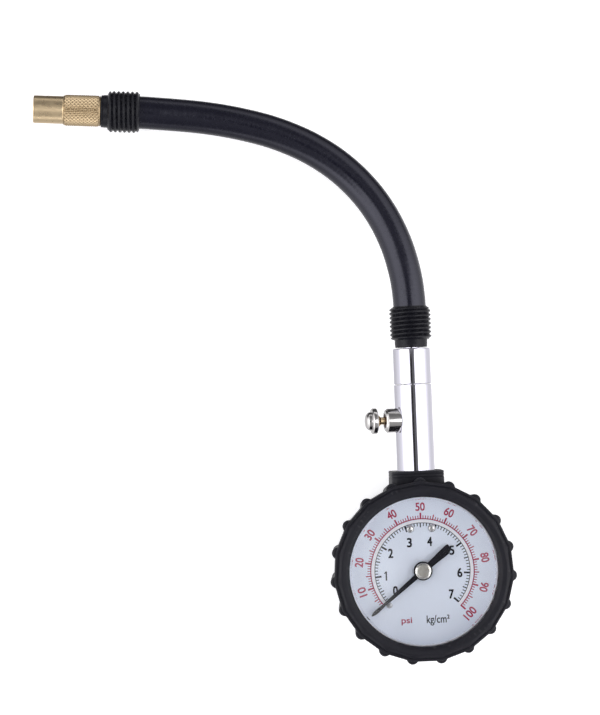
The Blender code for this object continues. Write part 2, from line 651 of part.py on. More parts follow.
def build_stem(chrome, seal):
    stem_axis = along((0, 1, 0), (0, 0, STEM_Z))
    low, high = STEM_Y
    tube = turned("main_tube", [
        (SHANK_R + GAP, low), (STEM_R - 0.3, low), (STEM_R, low + 0.3), (STEM_R, high - 0.2),
        (STEM_R - 0.2, high), (SPIGOT_BORE[0], high), SPIGOT_BORE,
        (STEM_BORE_R, SPIGOT_BORE[1] - 0.6), (STEM_BORE_R, STEM_SHANK_END_Y + 0.6),
        (SHANK_R + GAP, STEM_SHANK_END_Y),
    ], stem_axis, chrome, 24)
    valve_hole = turned("stem_valve_hole", [
        (0.0, 0.0), (2.9, 0.0), (2.9, 4.9), (BLEED_BODY_R + GAP, 4.9),
        (BLEED_BODY_R + GAP, 10.0), (0.0, 10.0),
    ], bleed_frame(), None, 20)
    cut(tube, valve_hole)

    groove_low, groove_high = SEAL_GROOVE_Y
    low, high = CONNECTOR_Y
    barb_neck_r, barb_lip_r = HOSE_BARB_R
    turned("hose_connector", [
        (CONNECTOR_BORE_R, SPIGOT_START_Y), (SPIGOT_R, SPIGOT_START_Y), (SPIGOT_R, groove_low),
        (SEAL_GROOVE_R, groove_low), (SEAL_GROOVE_R, groove_high), (SPIGOT_R, groove_high),
        (SPIGOT_R, low), (CONNECTOR_R - 0.2, low), (CONNECTOR_R, low + 0.2),
        (CONNECTOR_R, high - 0.3), (CONNECTOR_R - 0.3, high), (barb_neck_r, high),
        (barb_neck_r, HOSE_BARB_LIP_Y), (barb_lip_r, HOSE_BARB_LIP_Y),
        (barb_neck_r - 0.1, HOSE_START_Y - GAP), (CONNECTOR_BORE_R, HOSE_START_Y - GAP),
    ], stem_axis, chrome, 24)
    ring("connector_seal", (SEAL_GROOVE_R + 0.2, SPIGOT_R + 0.2),
         (groove_low + 0.2, groove_high - 0.2), stem_axis, seal, 16)


def build_bleed_valve(chrome, silver, steel, seal):
    place = bleed_frame()
    shank, seat = BLEED_SEAT_T
    turned("bleed_valve_body", [
        (BLEED_BORE_R, shank), (BLEED_SHANK_R, shank), (BLEED_SHANK_R, seat),
        (BLEED_BODY_R, seat), (BLEED_BODY_R, BLEED_FACE_T - BLEED_FACE_CHAMFER),
        (BLEED_BODY_R - BLEED_FACE_CHAMFER, BLEED_FACE_T), (BLEED_BORE_R, BLEED_FACE_T),
    ], place, chrome, 16)
    inner, outer = BLEED_FLANGE_T
    foot_low, foot_high = BLEED_FOOT_T
    turned("bleed_button", [
        (0.0, foot_low), (BLEED_FOOT_R, foot_low), (BLEED_FOOT_R, foot_high),
        (BLEED_STEM_R, foot_high), (BLEED_STEM_R, inner - 1.2),
        (2.6, inner), (BLEED_FLANGE_R - 0.3, inner), (BLEED_FLANGE_R, inner + 0.3),
        (BLEED_FLANGE_R, outer - 0.3), (BLEED_FLANGE_R - 0.3, outer), (BLEED_HEAD_R, outer),
        (BLEED_HEAD_R - 0.1, BLEED_HEAD_T - 1.2), (BLEED_HEAD_R - 0.9, BLEED_HEAD_T - 0.35),
        (0.0, BLEED_HEAD_T),
    ], place, silver, 16)
    ring("bleed_seal", (BLEED_STEM_R + 0.15, BLEED_FOOT_R), (foot_high + 0.15, shank - 0.15),
         place, seal, 16)
    coil("bleed_spring", 1.3, BLEED_SPRING_T, 4, place, steel)


def build_collars(black):
    neck, start, end = GAUGE_COLLAR_Y
    turned("hose_collar_gauge", [
        (COLLAR_MOUTH_R, neck), (COLLAR_NECK_R - 0.6, neck), (COLLAR_NECK_R, neck + 0.6),
        (COLLAR_NECK_R, start), (COLLAR_R, start), (COLLAR_R, end), (COLLAR_BORE_R, end),
        (COLLAR_BORE_R, start + 0.6), (COLLAR_MOUTH_R, start + 0.6),
    ], along((0, 1, 0), (0, 0, STEM_Z)), black, 24)
    end, start, neck = CHUCK_COLLAR_T
    turned("hose_collar_chuck", [
        (COLLAR_BORE_R, end), (COLLAR_R + 0.1, end), (COLLAR_R + 0.1, start),
        (COLLAR_NECK_R, start), (COLLAR_NECK_R, neck - 0.6), (COLLAR_NECK_R - 0.6, neck),
        (COLLAR_MOUTH_R, neck), (COLLAR_MOUTH_R, start - 0.6), (COLLAR_BORE_R, start - 0.6),
    ], chuck_frame(), look("collar_chuck", (0.015, 0.015, 0.018), 0.45), 24)


def chuck_frame():
    return along((*polar(1.0, CHUCK_DIRECTION), 0.0), CHUCK_FACE)


def build_chuck(brass, dark_brass, steel, seal):
    place = chuck_frame()
    neck_r, lip_r = BARB_R
    head_r, head_start, head_end = BARB_HEAD
    turned("chuck_barb", [
        (BARB_BORE_R, HOSE_END_T + GAP), (neck_r, HOSE_END_T + GAP), (lip_r, BARB_LIP_T),
        (neck_r, BARB_LIP_T), (neck_r, head_start), (head_r, head_start), (head_r, head_end),
        (BARB_BORE_R, head_end),
    ], place, dark_brass, 16)
    tail_bore_r, tail_r = TAIL_R
    groove_r, groove_start, groove_end = RING_GROOVE
    seat_r, chamber_end = CHECK_SEAT
    turned("chuck_body", [
        (tail_bore_r, TAIL_START_T), (tail_r, TAIL_START_T), (tail_r, KNURL_T[0]),
        (KNURL_R - 0.4, KNURL_T[0]), (KNURL_R, KNURL_T[0] + 0.4), (KNURL_R, KNURL_T[1] - 0.3),
        (KNURL_R - 0.3, KNURL_T[1]), (NOSE_R, KNURL_T[1]), (NOSE_R, NOSE_END_T - 0.15),
        (NOSE_R - 0.1, NOSE_END_T), (NOSE_BORE_R, NOSE_END_T), (NOSE_BORE_R, NOSE_FLOOR_T),
        (seat_r, NOSE_FLOOR_T), (seat_r, chamber_end), (CHECK_CHAMBER_R, chamber_end),
        (CHECK_CHAMBER_R, TAIL_BORE_END_T), (tail_bore_r, TAIL_BORE_END_T),
        (tail_bore_r, groove_end), (groove_r, groove_end), (groove_r, groove_start),
        (tail_bore_r, groove_start),
    ], place, brass, 24)
    ring("chuck_retaining_ring", (2.9, 3.95), (2.8, 3.4), place, steel, 16)
    ring("swivel_seal", (1.2, 3.3), (5.1, 6.0), place, seal, 16)
    ring("tyre_valve_seal", (1.6, 3.6), (12.5, 13.9), place, seal, 16)
    turned("check_poppet", [
        (0.0, 9.4), (2.1, 9.4), (2.1, 10.1), (0.8, 10.1), (0.8, 16.2), (0.5, 16.5), (0.0, 16.5),
    ], place, dark_brass, 16)
    ring("check_seal", (0.95, 2.0), (10.25, 10.8), place, seal, 16)
    coil("check_spring", 1.6, (6.6, 9.0), 3, place, steel)


def build_hose(rubber):
    wire("hose", smooth_curve(HOSE_ROUTE, HOSE_POINTS), HOSE_R, Matrix.Identity(4), rubber, 3)


def build():
    clear_scene()
    rubber = look("boot_rubber", (0.045, 0.047, 0.055), 0.62)
    hose_rubber = look("hose_rubber", (0.018, 0.018, 0.028), 0.38)
    collar_black = look("collar_black", (0.015, 0.015, 0.018), 0.45)
    case_steel = look("case_steel", (0.30, 0.30, 0.32), 0.4, 1.0)
    screw_steel = look("screw_steel", (0.62, 0.62, 0.64), 0.3, 1.0)
    spring_steel = look("spring_steel", (0.5, 0.5, 0.52), 0.3, 1.0)
    chrome = look("chrome", (0.9, 0.9, 0.92), 0.12, 1.0)
    glass = look("lens_clear", (0.95, 0.96, 0.98), 0.03, 0.0, 0.2)
    dial_white = look("dial_white", (0.60, 0.62, 0.74), 0.5)
    pointer_black = look("pointer_black", (0.01, 0.01, 0.015), 0.4)
    cap_silver = look("cap_silver", (0.75, 0.75, 0.76), 0.28, 1.0)
    pin_silver = look("pin_silver", (0.7, 0.7, 0.7), 0.4, 1.0)
    movement_brass = look("movement_brass", (0.72, 0.58, 0.30), 0.35, 1.0)
    bronze = look("tube_bronze", (0.62, 0.42, 0.22), 0.35, 1.0)
    chuck_brass = look("chuck_brass", (0.70, 0.55, 0.34), 0.3, 1.0)
    dark_brass = look("dark_brass", (0.35, 0.24, 0.12), 0.45, 1.0)
    seal = look("seal_rubber", (0.05, 0.02, 0.015), 0.7)

    build_boot(rubber)
    build_case(case_steel)
    build_front(case_steel, glass, seal)
    build_dial(dial_white, pin_silver, screw_steel)
    build_pointer(pointer_black, cap_silver)
    build_pinion(movement_brass)
    build_hairspring(bronze)
    build_sector(movement_brass, screw_steel)
    build_link(movement_brass)
    build_plates(movement_brass, screw_steel)
    build_bourdon(bronze, movement_brass)
    build_socket(movement_brass, seal)
    build_stem(chrome, seal)
    build_bleed_valve(chrome, cap_silver, spring_steel, seal)
    build_collars(collar_black)
    build_chuck(chuck_brass, dark_brass, spring_steel, seal)
    build_hose(hose_rubber)


build()
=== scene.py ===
# Looks for the dial tyre pressure gauge: a knobbed rubber boot round a dial, a polished
# stem with a bleed valve, a black hose between threaded collars, and a brass chuck.
# Lengths are in millimetres, and MM turns them into Blender's metres.
import json
import math

import bmesh
import bpy
import numpy as np
from mathutils import Matrix, Vector


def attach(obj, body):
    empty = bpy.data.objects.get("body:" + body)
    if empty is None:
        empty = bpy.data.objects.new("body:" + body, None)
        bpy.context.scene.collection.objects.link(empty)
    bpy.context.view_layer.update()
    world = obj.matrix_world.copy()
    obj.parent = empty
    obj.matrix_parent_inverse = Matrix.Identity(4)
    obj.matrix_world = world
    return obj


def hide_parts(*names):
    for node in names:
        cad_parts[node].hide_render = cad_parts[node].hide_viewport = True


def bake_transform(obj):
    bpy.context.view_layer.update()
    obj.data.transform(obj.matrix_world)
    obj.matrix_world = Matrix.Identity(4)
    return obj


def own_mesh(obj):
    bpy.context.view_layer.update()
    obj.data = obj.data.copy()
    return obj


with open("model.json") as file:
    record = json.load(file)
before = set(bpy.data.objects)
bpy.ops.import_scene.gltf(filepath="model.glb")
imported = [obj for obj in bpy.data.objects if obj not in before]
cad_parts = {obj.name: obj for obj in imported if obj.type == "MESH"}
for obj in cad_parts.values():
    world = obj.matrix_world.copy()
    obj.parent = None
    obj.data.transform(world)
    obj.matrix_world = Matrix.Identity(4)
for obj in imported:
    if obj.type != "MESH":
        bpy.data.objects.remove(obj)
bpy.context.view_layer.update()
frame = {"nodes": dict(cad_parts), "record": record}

MM = 0.001
TAU = 2 * math.pi

# Driving sizes, in millimetres, except the hose's route in metres
BOOT_R = 30.05                 # at the knobs' roots
BOOT_BACK_SHARE = 0.939        # the wall's radius at the back, as a share of the rim's
BOOT_TAPER_Z = (1.2, 25.0)
BOOT_H = 30.0
KNOB_PLACES = 19
KNOB_R = 1.95
KNOB_CENTRE_R = 29.2
KNOB_Z = (1.4, 27.4)
WINDOW_R = 24.8
CAVITY_R = (27.05, 26.3)       # inside the boot, round the bezel and round the case
NECK_HALF = (8.9, 9.0)
NECK_Y = 33.2
STEM_Z = 12.0
STEM_R = 6.35
CONNECTOR_R = 6.28
COLLAR_ROOT_R = 6.35           # at the foot of the collars' threads
DIAL_TOP = 21.6
DIAL_R = 24.9
ZERO_ANGLE = 226.0             # clockwise from +Y
FULL_ANGLE = 268.0             # from 0 to 100 psi
PSI_PER_KG = 14.2233
FIRST_MARK = 2                 # in psi and in tenths of a kg/cm2: under the pointer at rest
KG_NUMBERS = (                 # radius and angle of each number's centre
    (11.15, 235.7), (12.3, 264.0), (12.0, 300.6), (10.2, 337.0), (9.9, 16.0), (11.8, 57.6),
    (12.35, 95.2), (12.3, 131.2),
)
PLAIN_ONE = (                  # a stem with a short flag, about the number's centre
    (-0.02, -1.5), (0.42, -1.5), (0.42, 1.5), (0.1, 1.5), (-0.45, 1.02), (-0.45, 0.62), (-0.02, 0.95))
REST_ANGLE = 230.9
DIAL_SCREWS = ((-3.6, 13.9), (3.6, 13.9))
STOP_PIN_R = 15.8
NEEDLE_Z = 23.2
BLEED_Y = 50.35
BLEED_TILT = 6.5
SPRING_WIRE_R = 0.19
TUBE_MEAN_R = 18.0
TUBE_ARC = (72.5, -171.5)      # anticlockwise from +X, from the socket to the tip
TUBE_HALF = (0.65, 2.5)        # half the thickness and half the height
TUBE_WALL = 0.25
TUBE_MID_Z = 10.0
CHUCK_FACE = (-101.25, 158.64, 7.15)
CHUCK_DIRECTION = 176.2
HOSE_R = 5.5
HOSE_RING_PITCH = 1.6
HOSE_ROUTE_M = [
    (0.0, 0.0802, 0.012), (0.0, 0.0845, 0.012), (0.0, 0.0889, 0.0119), (-0.00025, 0.0936, 0.0117),
    (-0.00077, 0.09836, 0.0113), (-0.00171, 0.1033, 0.0107), (-0.00296, 0.1083, 0.0099),
    (-0.00474, 0.11341, 0.0091), (-0.00702, 0.11858, 0.0082), (-0.00995, 0.12377, 0.0074),
    (-0.01358, 0.12887, 0.0067), (-0.01815, 0.13396, 0.0062), (-0.02352, 0.13871, 0.00595),
    (-0.02957, 0.1429, 0.00585), (-0.03594, 0.14636, 0.0058), (-0.04379, 0.14967, 0.0058),
    (-0.05206, 0.15222, 0.00585), (-0.06057, 0.15422, 0.006), (-0.06903, 0.15567, 0.00625),
    (-0.07746, 0.15668, 0.0067), (-0.0824, 0.15718, 0.007), (-0.0876, 0.1577, 0.00713),
    (-0.09327, 0.15811, 0.00715),
]


# ---------------------------------------------------------------- camera

def add_camera():
    """Almost straight above the object, a little to its left."""
    data = bpy.data.cameras.new("camera")
    camera = bpy.data.objects.new("camera", data)
    bpy.context.scene.collection.objects.link(camera)
    data.sensor_width = 36.0
    data.lens = 136.0
    data.clip_start, data.clip_end = 0.05, 20.0
    camera.location = (-80 * MM, 61 * MM, 922 * MM)
    camera.rotation_euler = [math.radians(turn) for turn in (0.843, -2.6296, -2.2)]
    bpy.context.scene.camera = camera


# ---------------------------------------------------------------- shapes

def axis_frame(origin, direction):
    """A place whose Z runs along direction from origin."""
    turn = Vector(direction).to_track_quat("Z", "X").to_matrix().to_4x4()
    return Matrix.Translation(Vector(origin) * MM) @ turn


def clock(radius, degrees):
    """The point at an angle clockwise from +Y."""
    angle = math.radians(degrees)
    return radius * math.sin(angle), radius * math.cos(angle)


def smoothstep(low, high, value):
    t = np.clip((np.asarray(value, float) - low) / (high - low), 0, 1)
    return t * t * (3 - 2 * t)


def smooth_max(a, b, width):
    blend = np.maximum(width - np.abs(a - b), 0) / width
    return np.maximum(a, b) + blend * blend * width / 4


def rounded(corners, steps=5):
    """Outline through (radius, distance, fillet) corners. The fillet can be left out."""
    points = []
    for index, corner in enumerate(corners):
        here = np.array(corner[:2], float)
        if len(corner) == 2:
            points.append(here)
            continue
        back = np.array(corners[index - 1][:2], float) - here
        ahead = np.array(corners[(index + 1) % len(corners)][:2], float) - here
        back_length, ahead_length = np.linalg.norm(back), np.linalg.norm(ahead)
        back, ahead = back / back_length, ahead / ahead_length
        half = math.acos(np.clip(back @ ahead, -1, 1)) / 2
        reach = min(corner[2] / math.tan(half), 0.49 * back_length, 0.49 * ahead_length)
        middle = (back + ahead) / np.linalg.norm(back + ahead)
        centre = here + middle * reach / math.cos(half)
        first = math.atan2(*(here + back * reach - centre)[::-1])
        last = math.atan2(*(here + ahead * reach - centre)[::-1])
        sweep = (last - first + math.pi) % TAU - math.pi
        radius = reach * math.tan(half)
        for step in range(steps + 1):
            angle = first + sweep * step / steps
            points.append(centre + radius * np.array((math.cos(angle), math.sin(angle))))
    return np.array(points)


def filled(outline, gap):
    """The outline with points added, so that none are further apart than gap."""
    points = []
    for here, after in zip(outline, outline[1:]):
        count = max(1, math.ceil(np.linalg.norm(after - here) / gap))
        points += [here + (after - here) * step / count for step in range(count)]
    return np.array(points + [outline[-1]])


def link_object(name, data):
    obj = bpy.data.objects.new(name, data)
    bpy.context.scene.collection.objects.link(obj)
    return obj


def finished(obj, finish, sharp=35):
    obj.data.materials.append(finish.material)
    obj.data.shade_smooth()
    obj.data.set_sharp_from_angle(angle=math.radians(sharp))
    return obj


def skin(name, grid, place, finish, ring=True, sharp=35):
    """A mesh over a grid of points in mm: columns go round, and rows close up if ring."""
    rows, columns, _ = grid.shape
    mesh = bpy.data.meshes.new(name)
    index = np.arange(rows * columns).reshape(rows, columns)
    ahead = np.roll(index, -1, axis=1)
    last = rows if ring else rows - 1
    faces = []
    for row in range(last):
        after = (row + 1) % rows
        faces += np.stack((index[row], ahead[row], ahead[after], index[after]), axis=1).tolist()
    mesh.from_pydata((grid.reshape(-1, 3) * MM).tolist(), [], faces)
    bm = bmesh.new()
    bm.from_mesh(mesh)
    bmesh.ops.remove_doubles(bm, verts=bm.verts, dist=1e-8)
    bmesh.ops.recalc_face_normals(bm, faces=bm.faces)
    bm.to_mesh(mesh)
    bm.free()
    obj = link_object(name, mesh)
    obj.matrix_world = place
    return finished(obj, finish, sharp)


def revolve(name, outline, place, finish, around=96, relief=None, sharp=35):
    """Turns an outline about its place's Z. relief adds to the radius at an angle."""
    outline = np.asarray(outline, float)
    angles = np.arange(around) * TAU / around
    radius = np.repeat(outline[:, :1], around, axis=1)
    along = np.repeat(outline[:, 1:], around, axis=1)
    if relief:
        radius = radius + relief(np.broadcast_to(angles, radius.shape), along, radius)
    grid = np.stack((radius * np.cos(angles), radius * np.sin(angles), along), axis=2)
    ring = outline[0][0] > 0 and outline[-1][0] > 0
    return skin(name, grid, place, finish, ring, sharp)


def piece(obj, body, slot, *nodes):
    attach(obj, body)
    if nodes:
        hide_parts(*nodes)
    return obj


def smooth_curve(route, per_span):
    """Points on the Catmull-Rom curve through a route."""
    knots = np.array(route, float)
    knots = np.vstack((2 * knots[0] - knots[1], knots, 2 * knots[-1] - knots[-2]))
    points = []
    for span in range(len(route) - 1):
        a, b, c, d = knots[span:span + 4]
        for step in range(per_span):
            u = step / per_span
            points.append(0.5 * (2 * b + (c - a) * u + (2 * a - 5 * b + 4 * c - d) * u ** 2
                                 + (3 * b - a - 3 * c + d) * u ** 3))
    return np.array(points + [knots[-2]])


# ---------------------------------------------------------------- finishes

class Finish:
    """A Principled material, with short ways to vary it over the surface."""

    def __init__(self, name, colour, roughness, metallic=0.0, **sockets):
        self.material = bpy.data.materials.new(name)
        self.material.use_nodes = True
        self.tree = self.material.node_tree
        self.shader = self.tree.nodes["Principled BSDF"]
        self.colour = colour
        self.height = None
        self.set("Base Color", (*colour, 1.0))
        self.set("Roughness", roughness)
        self.set("Metallic", metallic)
        for socket, value in sockets.items():
            self.set(socket.replace("_", " "), value)
        self.place = self.node("ShaderNodeTexCoord").outputs["Object"]

    def set(self, socket, value):
        self.shader.inputs[socket].default_value = value

    def node(self, kind, inputs=(), **settings):
        made = self.tree.nodes.new(kind)
        for setting, value in settings.items():
            setattr(made, setting, value)
        for socket, value in dict(inputs).items():
            if isinstance(value, bpy.types.NodeSocket):
                self.tree.links.new(value, made.inputs[socket])
            else:
                made.inputs[socket].default_value = value
        return made

    def math(self, operation, a, b=0.0):
        return self.node("ShaderNodeMath", {0: a, 1: b}, operation=operation).outputs[0]

    def noise(self, size, stretch=(1, 1, 1), detail=3.0):
        """Soft patches about size mm across, longer along an axis where stretch is more."""
        scale = [1 / (size * MM * s) for s in stretch]
        where = self.node("ShaderNodeVectorMath", {0: self.place, 1: scale}, operation="MULTIPLY")
        texture = self.node("ShaderNodeTexNoise", {"Vector": where.outputs[0], "Scale": 1.0,
                                                   "Detail": detail})
        return self.spread(texture.outputs[0], 0.3, 0.7)

    def spread(self, value, low, high, to_low=0.0, to_high=1.0):
        return self.node("ShaderNodeMapRange", {0: value, 1: low, 2: high, 3: to_low,
                                                4: to_high}).outputs[0]

    def edges(self, low=0.52, high=0.6):
        """1 on raised edges, 0 elsewhere."""
        return self.spread(self.node("ShaderNodeNewGeometry").outputs["Pointiness"], low, high)

    def tint(self, mask, colour, amount=1.0):
        """Brings another colour in where mask is 1."""
        share = self.math("MULTIPLY", mask, amount)
        mix = self.node("ShaderNodeMix", {0: share}, data_type="RGBA")
        if isinstance(self.colour, bpy.types.NodeSocket):
            self.tree.links.new(self.colour, mix.inputs[6])
        else:
            mix.inputs[6].default_value = (*self.colour, 1.0)
        mix.inputs[7].default_value = (*colour, 1.0)
        self.colour = mix.outputs[2]
        self.tree.links.new(self.colour, self.shader.inputs["Base Color"])
        return self

    def rough(self, mask, low, high):
        self.tree.links.new(self.spread(mask, 0, 1, low, high), self.shader.inputs["Roughness"])
        return self

    def bump(self, mask, height, strength=1.0):
        """Raises the surface by height mm where mask is 1."""
        inputs = {"Strength": strength, "Distance": height * MM, "Height": mask}
        if self.height:
            inputs["Normal"] = self.height
        self.height = self.node("ShaderNodeBump", inputs).outputs[0]
        self.tree.links.new(self.height, self.shader.inputs["Normal"])
        return self


def rubber_finish(name, colour, roughness, worn):
    """Moulded rubber: faint mottling, a fine pebble and scuffed edges."""
    made = Finish(name, colour, roughness, Specular_IOR_Level=0.2)
    cloudy = made.noise(6.0)
    pebble = made.noise(0.28, detail=4.0)
    made.tint(cloudy, [c * 1.5 for c in colour], 0.6)
    made.tint(made.edges(0.51, 0.6), worn, 0.35)
    made.rough(made.noise(1.6), roughness - 0.06, roughness + 0.08)
    return made.bump(pebble, 0.02, 0.7)


def turned_metal(name, colour, dark, roughness, marks=0.012, ring_size=0.09):
    """Metal with fine turning marks round its own axis, and a little tarnish."""
    made = Finish(name, colour, roughness, 1.0)
    rings = made.noise(ring_size, (4000, 4000, 1), 2.0)
    patches = made.noise(3.0)
    made.tint(patches, dark, 0.22)
    made.rough(made.noise(1.2), roughness * 0.85, roughness * 1.2)
    return made.bump(rings, marks, 0.5)


def polished_metal(name, colour, dark, roughness):
    """Plated or polished metal with faint streaks along its axis."""
    made = Finish(name, colour, roughness, 1.0)
    streaks = made.noise(0.35, (1, 1, 60), 2.0)
    made.tint(streaks, dark, 0.25)
    made.rough(made.noise(2.5), roughness * 0.7, roughness * 1.5)
    return made.bump(streaks, 0.004, 0.25)


def satin_metal(name, colour, dark, roughness):
    """Stamped or drawn metal with a fine grain."""
    made = Finish(name, colour, roughness, 1.0)
    made.tint(made.noise(1.5), dark, 0.4)
    made.rough(made.noise(0.5), roughness * 0.75, roughness * 1.25)
    return made.bump(made.noise(0.1), 0.005, 0.5)


def cap_finish():
    """A bright rolled rim round a dull, mottled face."""
    made = Finish("cap_silver", (0.8, 0.79, 0.76), 0.22, 1.0)
    flat = made.node("ShaderNodeVectorMath", {0: made.place, 1: (1.0, 1.0, 0.0)},
                     operation="MULTIPLY").outputs[0]
    radius = made.node("ShaderNodeVectorMath", {0: flat}, operation="LENGTH").outputs["Value"]
    face = made.spread(radius, 1.8 * MM, 2.05 * MM, 1.0, 0.0)
    made.tint(face, (0.42, 0.41, 0.385))
    made.tint(made.noise(0.7), (0.24, 0.225, 0.18), 0.5)
    made.rough(face, 0.16, 0.4)
    return made.bump(made.noise(0.5), 0.02, 0.5)


def paint_finish(name, colour, other, roughness, grain=0.15, specular=0.5):
    """Smooth paint or print with a faint grain."""
    made = Finish(name, colour, roughness, Specular_IOR_Level=specular)
    made.tint(made.noise(grain), other, 0.5)
    made.rough(made.noise(2.0), roughness * 0.85, roughness * 1.15)
    return made.bump(made.noise(grain), 0.003, 0.4)


def hose_finish():
    """Black rubber hose with faint rings round it and a fine grain."""
    made = Finish("hose_rubber", (0.002, 0.002, 0.007), 0.24, IOR=1.53,
                  Specular_Tint=(0.86, 0.86, 1.0, 1.0))
    along = made.node("ShaderNodeAttribute", attribute_name="along_mm").outputs["Fac"]
    wave = made.math("SINE", made.math("MULTIPLY", along, TAU / HOSE_RING_PITCH))
    rings = made.spread(wave, -1, 1)
    made.tint(made.noise(5.0), (0.005, 0.005, 0.011), 0.6)
    made.rough(made.noise(1.1), 0.19, 0.3)
    made.bump(rings, 0.02, 0.25)
    return made.bump(made.noise(0.3), 0.006, 0.4)


def lens_finish():
    """Clear plastic that bends the light, with barely uneven gloss."""
    made = Finish("clear_lens", (1.0, 1.0, 1.0), 0.02, Transmission_Weight=1.0, IOR=1.45)
    return made.rough(made.noise(4.0), 0.01, 0.03)


def build_finishes():
    chrome, chrome_dark = (0.66, 0.65, 0.72), (0.56, 0.55, 0.63)
    brass, brass_dark = (0.84, 0.66, 0.42), (0.7, 0.54, 0.33)
    return {
        "boot": rubber_finish("boot_rubber", (0.0085, 0.0085, 0.0125), 0.45, (0.05, 0.05, 0.055)),
        "seal": rubber_finish("seal_rubber", (0.05, 0.016, 0.010), 0.5, (0.09, 0.05, 0.04)),
        "collar": rubber_finish("collar_black", (0.007, 0.007, 0.010), 0.24, (0.05, 0.05, 0.056)),
        "hose": hose_finish(),
        "lens": lens_finish(),
        "dial": paint_finish("dial_paint", (0.80, 0.865, 0.98), (0.77, 0.835, 0.96), 0.5, 0.3),
        "red": paint_finish("print_red", (0.42, 0.012, 0.075), (0.34, 0.01, 0.06), 0.5),
        "black": paint_finish("print_black", (0.006, 0.006, 0.014), (0.01, 0.01, 0.02), 0.5,
                              specular=0.15),
        "white": paint_finish("print_white", (0.9, 0.9, 0.95), (0.85, 0.85, 0.9), 0.5),
        "pointer": paint_finish("pointer_paint", (0.001, 0.001, 0.006), (0.002, 0.002, 0.008), 0.6,
                                specular=0.12),
        "cap": cap_finish(),
        "screw": polished_metal("screw_plating", (0.62, 0.62, 0.62), (0.52, 0.51, 0.5), 0.2),
        "pin": satin_metal("pin_nickel", (0.46, 0.47, 0.5), (0.38, 0.39, 0.42), 0.45),
        "chrome": polished_metal("stem_chrome", chrome, chrome_dark, 0.07),
        "valve": turned_metal("valve_chrome", (0.66, 0.645, 0.635), (0.54, 0.52, 0.5), 0.12, 0.004),
        "brass": turned_metal("chuck_brass", brass, brass_dark, 0.3, 0.004),
        "grip": turned_metal("grip_brass", (0.5, 0.385, 0.24), (0.38, 0.28, 0.16), 0.3),
        "dark_brass": turned_metal("dark_brass", (0.36, 0.25, 0.13), (0.2, 0.13, 0.07), 0.4),
        "case": satin_metal("case_steel", (0.42, 0.42, 0.44), (0.3, 0.3, 0.32), 0.32),
        "movement": satin_metal("movement_brass", (0.72, 0.56, 0.28), (0.55, 0.4, 0.2), 0.3),
        "bronze": satin_metal("tube_bronze", (0.66, 0.42, 0.22), (0.5, 0.3, 0.15), 0.28),
        "spring": satin_metal("spring_steel", (0.55, 0.55, 0.57), (0.4, 0.4, 0.42), 0.25),
    }


# ---------------------------------------------------------------- boot

def knob_offset(angles):
    """The angle from the nearest knob's centre."""
    pitch = TAU / KNOB_PLACES
    return (angles / pitch + 0.5) % 1 * pitch - pitch / 2


def boot_wall(offset):
    """The boot's outside between knobs, which is nearly straight from knob to knob."""
    half = math.pi / KNOB_PLACES
    return BOOT_R * math.cos(half) / np.cos(half - np.abs(offset))


def knobbed_wall(offset):
    side = np.abs(KNOB_CENTRE_R * np.sin(offset))
    dome = np.sqrt(np.maximum(KNOB_R ** 2 - side ** 2, 0)) - 4 * np.maximum(side - KNOB_R, 0)
    return smooth_max(boot_wall(offset), KNOB_CENTRE_R * np.cos(offset) + dome, 0.7)


def build_boot(finish):
    outline = rounded([
        (0.0, 0.0), (16.0, 0.0, 0.3), (16.4, 0.5, 0.3), (17.8, 0.5, 0.3), (18.2, 0.0, 0.3),
        (BOOT_R, 0.0, 1.2), (BOOT_R, 28.9, 0.45), (29.3, 28.95, 0.2), (29.05, 28.8, 0.1),
        (28.7, 29.55, 0.35), (27.4, BOOT_H, 1.2), (26.0, 29.8, 0.5), (WINDOW_R, 28.9, 0.25),
        (WINDOW_R, 28.4), (CAVITY_R[0], 28.4), (CAVITY_R[0], 21.6), (CAVITY_R[1], 21.3),
        (CAVITY_R[1], 2.0, 0.4), (0.0, 2.0),
    ])
    outline = filled(outline, 1.1)
    low, high = KNOB_Z
    ends = [low + d for d in (0, 0.05, 0.2, 0.5, 0.9)] + [high - d for d in (0.7, 0.4, 0.15, 0.03, 0)]
    on_wall = np.abs(outline[:, 0] - BOOT_R) < 1e-6
    first = int(np.argmax(on_wall))
    wall = outline[on_wall]
    heights = sorted(set(np.round(wall[:, 1], 4)) | set(ends))
    wall = np.array([(BOOT_R, z) for z in heights])
    outline = np.vstack((outline[:first], wall, outline[first + int(on_wall.sum()):]))
    around = KNOB_PLACES * 40
    angles = np.arange(around) * TAU / around
    offset = knob_offset(angles)
    radius, z = outline[:, :1], outline[:, 1:]
    follow = smoothstep(28.2, 28.8, radius) * (z > 0.01)
    bottom = np.clip((z - low) / 0.9, 0, 1)
    top = np.clip((high - z) / 0.7, 0, 1)
    share = np.sqrt(1 - (1 - bottom) ** 2) * np.sqrt(1 - (1 - top) ** 2)
    share = share * (np.abs(radius - BOOT_R) < 1e-6)
    wall = boot_wall(offset)
    reach = radius + follow * (wall - BOOT_R) + share * (knobbed_wall(offset) - wall)
    outside = np.arange(len(outline))[:, None] < int(np.argmax(outline[:, 1] > BOOT_TAPER_Z[1]))
    narrow = (1 - BOOT_BACK_SHARE) * (1 - np.clip((z - BOOT_TAPER_Z[0]) / np.ptp(BOOT_TAPER_Z), 0, 1))
    reach = reach * (1 - narrow * outside * smoothstep(24.0, 27.9, radius))
    grid = np.stack((reach * np.sin(angles), reach * np.cos(angles),
                     np.broadcast_to(z, reach.shape)), axis=2)
    body = skin("boot_cover", grid, Matrix.Identity(4), finish, ring=False, sharp=50)
    piece(body, "housing", "boot_rubber", "rubber_boot")


